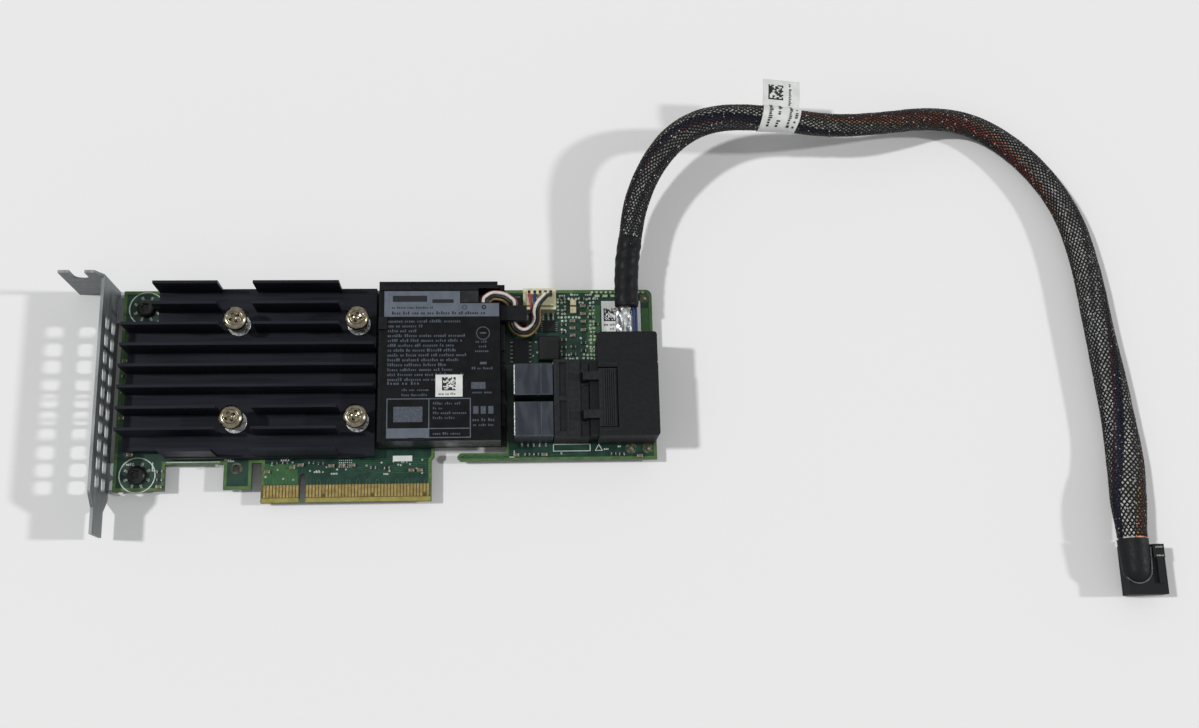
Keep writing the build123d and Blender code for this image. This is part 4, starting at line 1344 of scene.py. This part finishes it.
    def print_marks(self) -> None:
        """Small white marks beside the parts, plain strokes and frames."""
        shape, rows, flat = Shape(), TypeRows(height=0.8, pitch=0.55, seed=4), (0.0, self.mark_lift)
        for x, y, length in (
            (-53.6, 12.2, 2.4), (-26.6, 11.4, 3.2), (-23.0, 12.9, 2.6), (-6.8, 13.0, 2.8), (3.4, 9.2, 3.4),
            (8.6, 8.6, 2.6), (24.8, 8.3, 1.8), (30.2, 12.0, 2.4), (80.2, 66.0, 2.6), (84.0, 66.3, 3.0),
            (88.8, 66.3, 2.6), (91.4, 65.0, 2.2), (66.0, 53.9, 1.8), (89.8, 55.0, 2.0), (89.6, 51.0, 2.2),
            (89.9, 48.2, 2.2), (79.8, 44.0, 2.4), (93.6, 15.4, 2.0), (98.0, 16.2, 1.6), (104.6, 66.8, 2.2),
            (66.2, 65.6, 1.8), (-24.0, 13.4, 2.4),
        ):
            rows.add(shape, (x, y), length, 0.0)
        for i in range(7):
            for j in range(4):
                x, y = 11.0 + 0.62 * i, 12.9 - 0.7 * j
                shape.block((x, x + 0.35), (y, y + 0.3), flat)
        shape.strip([(-41.5, 13.0), (-25.3, 13.0)], 0.3, flat)
        shape.block((4.6, 5.4), (14.3, 14.9), (0.0, 0.05))
        shape.piece("board_marks", SILK_WHITE, "silk")

    def tooling_spots(self) -> None:
        """The lacquered rings of the tooling holes, with their small bright middles."""
        rings, middles, top = Shape(), Shape(), 0.06
        for x, y, radius in self.tooling_holes:
            rings.disc((x, y), radius + 0.02, (0.0, top), ease=0.01, sides=32)
            middles.disc((x + 0.3, y - 0.2), 0.5, (top - 0.01, top + 0.02), sides=14)
        rings.ring(self.pull_tab_hole, (1.12, 1.87), (0.0, top))
        rings.piece("board_tooling_rings", PAD_OLIVE, "board")
        middles.piece("board_tooling_middles", TIN, "tin")

    def contact_field(self) -> None:
        """The bare laminate between the gold contacts, and the bevel at their tips."""
        shape, tips, flat = Shape(), Shape(), (0.0, 0.018)
        for side in ((self.contact_ends[0], -self.key_half), (self.key_half, self.contact_ends[1])):
            shape.block(side, (self.bevel_top, self.contact_top), flat)
            tips.block(side, (0.06, self.bevel_top), flat)
        shape.piece("contact_field", CONTACT_GAP, "board")
        tips.piece("contact_tips", CONTACT_TIP, "board")

    def label_print(self) -> None:
        """The code block and its row of marks on the board's white label."""
        shape = Shape()
        code_block(shape, (94.6, 57.6), 4.4, self.label_level, seed=8)
        add_type(shape, self.label_level, ((0.8, 0.5, 6, 94.6, 56.1, 4.0), (0.8, 0.5, 7, 96.6, 54.7, 4.0)))
        shape.piece("board_label_print", PRINT_BLACK, "label_print")

    def build(self) -> None:
        """Dresses the board and adds what lies on it."""
        dress({
            "circuit_board": SOLDER_MASK, "edge_contacts": PLATED_GOLD, "board_pads": TIN,
            "board_print": SILK_WHITE, "board_label": LABEL_WHITE, "strip_sticker": LABEL_WHITE,
            "indicator_lights": LENS, "resistors": CERAMIC_DARK, "capacitors": CERAMIC_TAN,
            "end_caps": TIN, "memory_chips": CHIP_BLACK, "power_inductor": FERRITE,
            "power_chip": CHIP_BLACK, "charger_chip": CHIP_BLACK, "chip_leads": TIN,
            "film_capacitors": FILM_CREAM, "controller_chip": CHIP_BLACK, "thermal_pad": PAD_GREY,
        })
        self.edge_margin()
        self.copper_areas()
        self.tracks()
        self.vias()
        self.print_marks()
        self.tooling_spots()
        self.contact_field()
        self.label_print()


# Bracket


@dataclass
class Bracket:
    """The slotted plate that holds the card, and its two black screws.

    A screw head's profile gives radii and heights, and whether the socket's lobes show there.
    """

    screws: tuple[Spot, ...] = ((-50.15, 62.33), (-50.15, 9.09))
    profile: tuple[tuple[float, float, bool], ...] = (
        (2.9, 0.02, False), (2.9, 0.9, False), (2.75, 1.35, False), (2.35, 1.7, False), (1.75, 1.88, False),
        (1.42, 1.9, True), (1.32, 1.75, True), (1.28, 0.8, True), (0.4, 0.7, False),
    )
    lobes: int = 6
    lobe_depth: float = 0.13
    shank_radius: float = 1.4
    shank_end: float = 0.9

    def screw_heads(self, sides: int = 72) -> None:
        """Makes the domed heads with their lobed sockets, and the shanks.

        Args:
            sides: How many sides a head has.
        """
        heads, shanks = Shape(), Shape()
        for x, y in self.screws:
            loops = []
            for radius, z, lobed in self.profile:
                loop = []
                for i in range(sides):
                    turn = math.tau * i / sides
                    reach = radius * (1 + lobed * self.lobe_depth * math.cos(self.lobes * turn))
                    loop.append((x + reach * math.cos(turn), y + reach * math.sin(turn), z))
                loops.append(loop)
            heads.loft(loops)
            ends = (-BOARD_THICKNESS - self.shank_end, 0.1)
            shanks.disc((x, y), self.shank_radius, ends, ease=0.05, sides=32)
        made = heads.piece("bracket_screw_heads", BLACK_SCREW, "black_screw")
        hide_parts("bracket_screws")
        shanks.piece("bracket_screw_shanks", BLACK_SCREW, "black_screw")

    def build(self) -> None:
        """Dresses the bracket and adds its screws."""
        dress({"bracket": BRACKET_STEEL})
        self.screw_heads()


# Heat sink


@dataclass
class HeatSink:
    """The black finned heat sink with its four sprung screws."""

    screws: tuple[Spot, ...] = ((-20.25, 55.5), (16.95, 55.5), (-20.25, 24.5), (16.95, 24.5))
    head_radius: float = 3.6
    head_bottom: float = 11.1
    head_top: float = 13.4
    rim_height: float = 0.9
    rim_drop: float = 0.75
    groove: Spot = (0.55, 0.66)
    groove_depth: float = 0.22
    dish_depth: float = 0.5
    slot_reach: float = 1.75
    slot_half: float = 0.36
    slot_depth: float = 0.85
    shank_radius: float = 1.5
    nut_level: float = -3.67

    def head_height(self, x: float, y: float) -> float:
        """Finds the height of a screw head: a domed rim, a groove, a shallow dish and a cross slot.

        Args:
            x: The distance from its middle along one arm of the slot.
            y: The distance along the other arm.

        Returns:
            The height there.
        """
        reach = math.hypot(x, y) / self.head_radius
        height = self.head_top - self.rim_drop * max(0.0, (reach - 0.62) / 0.38) ** 2
        start, end = self.groove
        if start < reach < end:
            height -= self.groove_depth * math.sin(math.pi * (reach - start) / (end - start))
        height -= self.dish_depth * max(0.0, 1 - reach / 0.42)
        along, aside = max(abs(x), abs(y)), min(abs(x), abs(y))
        if along < self.slot_reach and aside < self.slot_half + 0.18 * max(0.0, 1 - reach * 2):
            height -= self.slot_depth * (1 - (along / self.slot_reach) ** 4)
        return height

    def screw_heads(self, sides: int = 96, rings: int = 30) -> None:
        """Makes the four heads, each turned its own way, and their shanks.

        Args:
            sides: How many sides a head has.
            rings: How many rings its top has.
        """
        shape = Shape()
        for k, middle in enumerate(self.screws):
            cosine, sine = math.cos(0.5 + 0.8 * k), math.sin(0.5 + 0.8 * k)
            foot = circle(middle, self.head_radius, sides)
            loops = [[(x, y, self.head_bottom + rise) for x, y in foot] for rise in (0.0, self.rim_height)]
            for n in range(rings, 0, -1):
                loop = []
                for x, y in circle((0.0, 0.0), self.head_radius * n / rings, sides):
                    height = self.head_height(x * cosine + y * sine, y * cosine - x * sine)
                    loop.append((middle[0] + x, middle[1] + y, height))
                loops.append(loop)
            shape.loft(loops)
            ends = (self.nut_level, self.head_bottom + 0.2)
            shape.disc(middle, self.shank_radius, ends, ease=0.05, sides=28)
        made = shape.piece("heatsink_screw_heads", NICKEL, "nickel", angle=40)
        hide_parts("heatsink_screws")

    def build(self) -> None:
        """Dresses the heat sink and adds its screws."""
        dress({
            "heatsink": ANODISED, "heatsink_washers": BRIGHT_STEEL, "heatsink_springs": SPRING_STEEL,
            "heatsink_nuts": BRIGHT_STEEL,
        })
        self.screw_heads()


# Battery


@dataclass
class Battery:
    """The battery pack in its tray, its label, and its leads to the board."""

    label_level: float = 13.0
    sticker_level: float = 13.06
    rows_from: Spot = (26.6, 53.7)
    rows_step: float = 1.55
    row_lengths: tuple[float, ...] = (
        23.5, 11.2, 9.0, 24.5, 23.0, 21.0, 21.5, 24.8, 22.0, 18.5, 20.0, 24.0, 21.0,
    )
    small_rows: tuple[tuple[float, float, int, float, float, float], ...] = (
        (1.0, 0.95, 60, 26.6, 33.9, 10.5), (0.8, 0.62, 61, 31.0, 31.9, 9.0), (0.8, 0.62, 62, 31.0, 30.3, 9.0),
        (0.8, 0.62, 70, 53.6, 47.1, 4.6), (0.8, 0.62, 71, 54.6, 45.6, 2.6), (0.8, 0.62, 72, 53.4, 44.1, 5.0),
        (0.8, 0.62, 75, 52.4, 38.6, 7.4), (0.8, 0.62, 76, 52.6, 31.0, 6.4), (1.0, 0.72, 77, 52.6, 22.3, 7.6),
        (0.7, 0.6, 78, 52.8, 20.8, 6.8), (0.8, 0.62, 80, 40.6, 27.6, 8.6), (0.8, 0.62, 81, 40.6, 26.1, 4.0),
        (0.8, 0.62, 82, 40.6, 24.6, 10.4), (0.8, 0.62, 83, 40.6, 23.1, 7.2), (0.8, 0.62, 86, 40.6, 18.2, 8.6),
    )
    bars: tuple[tuple[Spot, Spot], ...] = (
        ((54.9, 56.9), (50.0, 50.5)), ((54.9, 57.0), (40.2, 41.0)), ((52.2, 56.6), (32.4, 34.6)),
        ((52.8, 54.4), (24.6, 27.0)), ((55.1, 56.7), (24.6, 27.0)), ((57.4, 59.0), (24.6, 27.0)),
        ((28.6, 37.4), (22.2, 27.0)),
    )

    def print_rows(self) -> None:
        """The label's small grey print as rows of plain blocks, with a ring and bars for its symbols."""
        shape, level, (x, y) = Shape(), self.label_level, self.rows_from
        for k, length in enumerate(self.row_lengths):
            add_type(shape, level, ((0.95, 0.66, 30 + k, x, y - self.rows_step * k, length),))
        add_type(shape, level, self.small_rows)
        shape.ring((55.9, 50.2), (1.85, 2.15), (level, level + FILM))
        for across, along in self.bars:
            shape.block(across, along, (level, level + FILM))
        shape.piece("label_small_print", PRINT_GREY, "label_print")

    def heading_marks(self) -> None:
        """Dark bars on the label's grey heading, and the code block on its white sticker."""
        shape, border, level = Shape(), Shape(), self.label_level + FILM
        for across, along in (((28.0, 38.6), (60.4, 62.4)), ((40.2, 46.8), (60.0, 61.2))):
            shape.block(across, along, (level, level + FILM), ease=0.01)
        add_type(shape, level, ((0.7, 0.55, 90, 27.8, 58.2, 13.5), (1.0, 0.72, 91, 27.8, 56.3, 30.0)))
        shape.ring((50.2, 58.6), (0.55, 0.75), (level, level + FILM), sides=20)
        shape.ring((56.2, 58.6), (0.35, 0.75), (level, level + FILM), sides=20)
        code_block(shape, (43.3, 32.0), 4.2, self.sticker_level, seed=13)
        add_type(shape, self.sticker_level, ((0.7, 0.55, 92, 42.3, 30.6, 6.2),))
        shape.piece("label_dark_print", PRINT_DARK, "label_print")
        border.block((25.4, 26.8), (55.6, 63.9), (self.label_level, level))
        border.piece("label_heading_border", LABEL_HEADING, "label_print")

    def tray_ribs(self) -> None:
        """The tray's ledge behind the pack and the ribs that it is locked by."""
        shape = Shape()
        shape.block((25.0, 59.6), (66.2, 66.8), (13.0, 13.35), ease=0.12)
        for x in (34.2, 45.8):
            shape.block((x, x + 1.2), (64.6, 66.1), (13.0, 13.3), ease=0.1)
        for y in (24.0, 33.0, 42.0):
            shape.block((61.35, 62.75), (y, y + 5.0), (7.0, 7.9), ease=0.15)
        shape.block((61.2, 62.7), (45.5, 49.5), (7.0, 9.6), ease=0.2)
        shape.block((33.0, 38.0), (16.5, 17.3), (13.02, 13.2), ease=0.06)
        shape.piece("tray_ribs", TRAY_PLASTIC, "tray_plastic")

    def lead_ends(self, half: float = 0.42) -> None:
        """Makes the windows of the plug's sockets as flat blocks of painted shade.

        Args:
            half: Half a window's width.
        """
        shape = Shape()
        for x in (70.5, 72.3, 74.0, 75.7, 77.4):
            shape.block((x - half, x + half), (65.2, 66.2), (5.99, 6.05))
        shape.piece("plug_windows", HOLE_SHADE, "cream_plastic")

    def build(self) -> None:
        """Dresses the battery and adds its print."""
        dress({
            "battery_tray": TRAY_PLASTIC, "battery_pack": PACK_PLASTIC, "battery_label": LABEL_DARK,
            "battery_label_print": LABEL_HEADING, "battery_sticker": LABEL_WHITE,
            "battery_header": CREAM, "battery_plug": CREAM, "header_pins": TIN,
            "lead_clip": TRAY_PLASTIC, "battery_lead_red": RED_WIRE, "battery_lead_blue": BLUE_WIRE,
            "battery_lead_yellow": YELLOW_WIRE, "battery_lead_white": WHITE_WIRE,
            "battery_lead_black": BLACK_WIRE,
        })
        self.print_rows()
        self.heading_marks()
        self.tray_ribs()
        self.lead_ends()


# Ports


@dataclass
class Ports:
    """The two caged ports, their housing and the double plug that is pushed into them."""

    rows: tuple[Spot, ...] = ((18.0, 28.8), (31.0, 40.9))
    cage_top: float = 10.6
    housing_top: float = 10.8
    cap_top: float = 13.5
    plug_top: float = 14.0

    def cage_rim_highlights(self) -> None:
        """A painted highlight strip along the top of each cage's west side, and its pressed seams."""
        rims, seams, top = Shape(), Shape(), self.cage_top
        for south, north in self.rows:
            rims.block((65.3, 65.62), (south + 0.2, north - 0.2), (top, top + 0.06), ease=0.02)
            seams.block((73.6, 73.85), (south + 0.3, north - 0.3), (top, top + 0.05), ease=0.02)
            seams.block((65.5, 76.9), (south + 0.05, south + 0.3), (top, top + 0.08), ease=0.03)
        rims.piece("cage_rim_highlights", BRIGHT_STEEL, "cage_metal")
        seams.piece("cage_seams", CAGE_METAL, "cage_metal")

    def solder_tails(self) -> None:
        """The ports' solder tails along their south side."""
        shape = Shape()
        for x in (67.4 + 1.9 * k for k in range(5)):
            shape.block((x, x + 0.6), (16.6, 17.9), (0.0, 0.35), ease=0.08)
        shape.block((79.9, 80.5), (14.0, 15.0), (0.0, 0.3), ease=0.05)
        shape.piece("port_tails", TIN, "tin")

    def housing_steps(self) -> None:
        """Moulded ribs on the housing's top and the hooks' seats at its windows."""
        shape, top = Shape(), self.housing_top
        shape.block((81.9, 82.3), (18.2, 41.6), (top, top + 0.2), ease=0.08)
        for y in (22.0, 26.2, 34.1, 38.3):
            shape.block((85.9, 88.5), (y - 0.25, y + 0.25), (top - 0.7, top - 0.35), ease=0.08)
        shape.block((77.8, 79.1), (18.4, 41.4), (top, top + 0.15), ease=0.06)
        shape.piece("housing_ribs", PORT_PLASTIC, "port_plastic")

    def plug_marks(self) -> None:
        """The moulding's small gate and pin marks on the plug."""
        shape, cap, top = Shape(), self.cap_top, self.plug_top
        for x, y, level in ((97.8, 47.6, cap), (105.0, 47.6, cap), (105.0, 43.4, cap), (105.4, 27.4, top)):
            shape.ring((x, y), (0.28, 0.46), (level, level + 0.04), sides=16)
        for y in (19.0, 39.8):
            shape.block((91.6, 97.2), (y - 0.2, y + 0.2), (top, top + 0.12), ease=0.05)
        shape.piece("plug_marks", PORT_PLASTIC, "plug_plastic")

    def build(self) -> None:
        """Dresses the ports and the plug."""
        dress({
            "port_cages": CAGE_METAL, "port_cores": PORT_PLASTIC, "port_housing": PORT_PLASTIC,
            "port_pegs": PORT_PLASTIC, "plug_noses": CHIP_BLACK, "plug_body": PLUG_PLASTIC,
            "plug_cap": PLUG_PLASTIC, "plug_latch": PORT_PLASTIC,
        })
        self.cage_rim_highlights()
        self.solder_tails()
        self.housing_steps()
        self.plug_marks()


def main() -> None:
    """Builds the studio, then each sub-assembly in order."""
    logging.basicConfig(level=logging.INFO, format="%(name)s: %(message)s")
    for assembly in (Studio(), Cable(), Board(), Bracket(), HeatSink(), Battery(), Ports()):
        assembly.build()


if __name__ == "__main__":
    main()
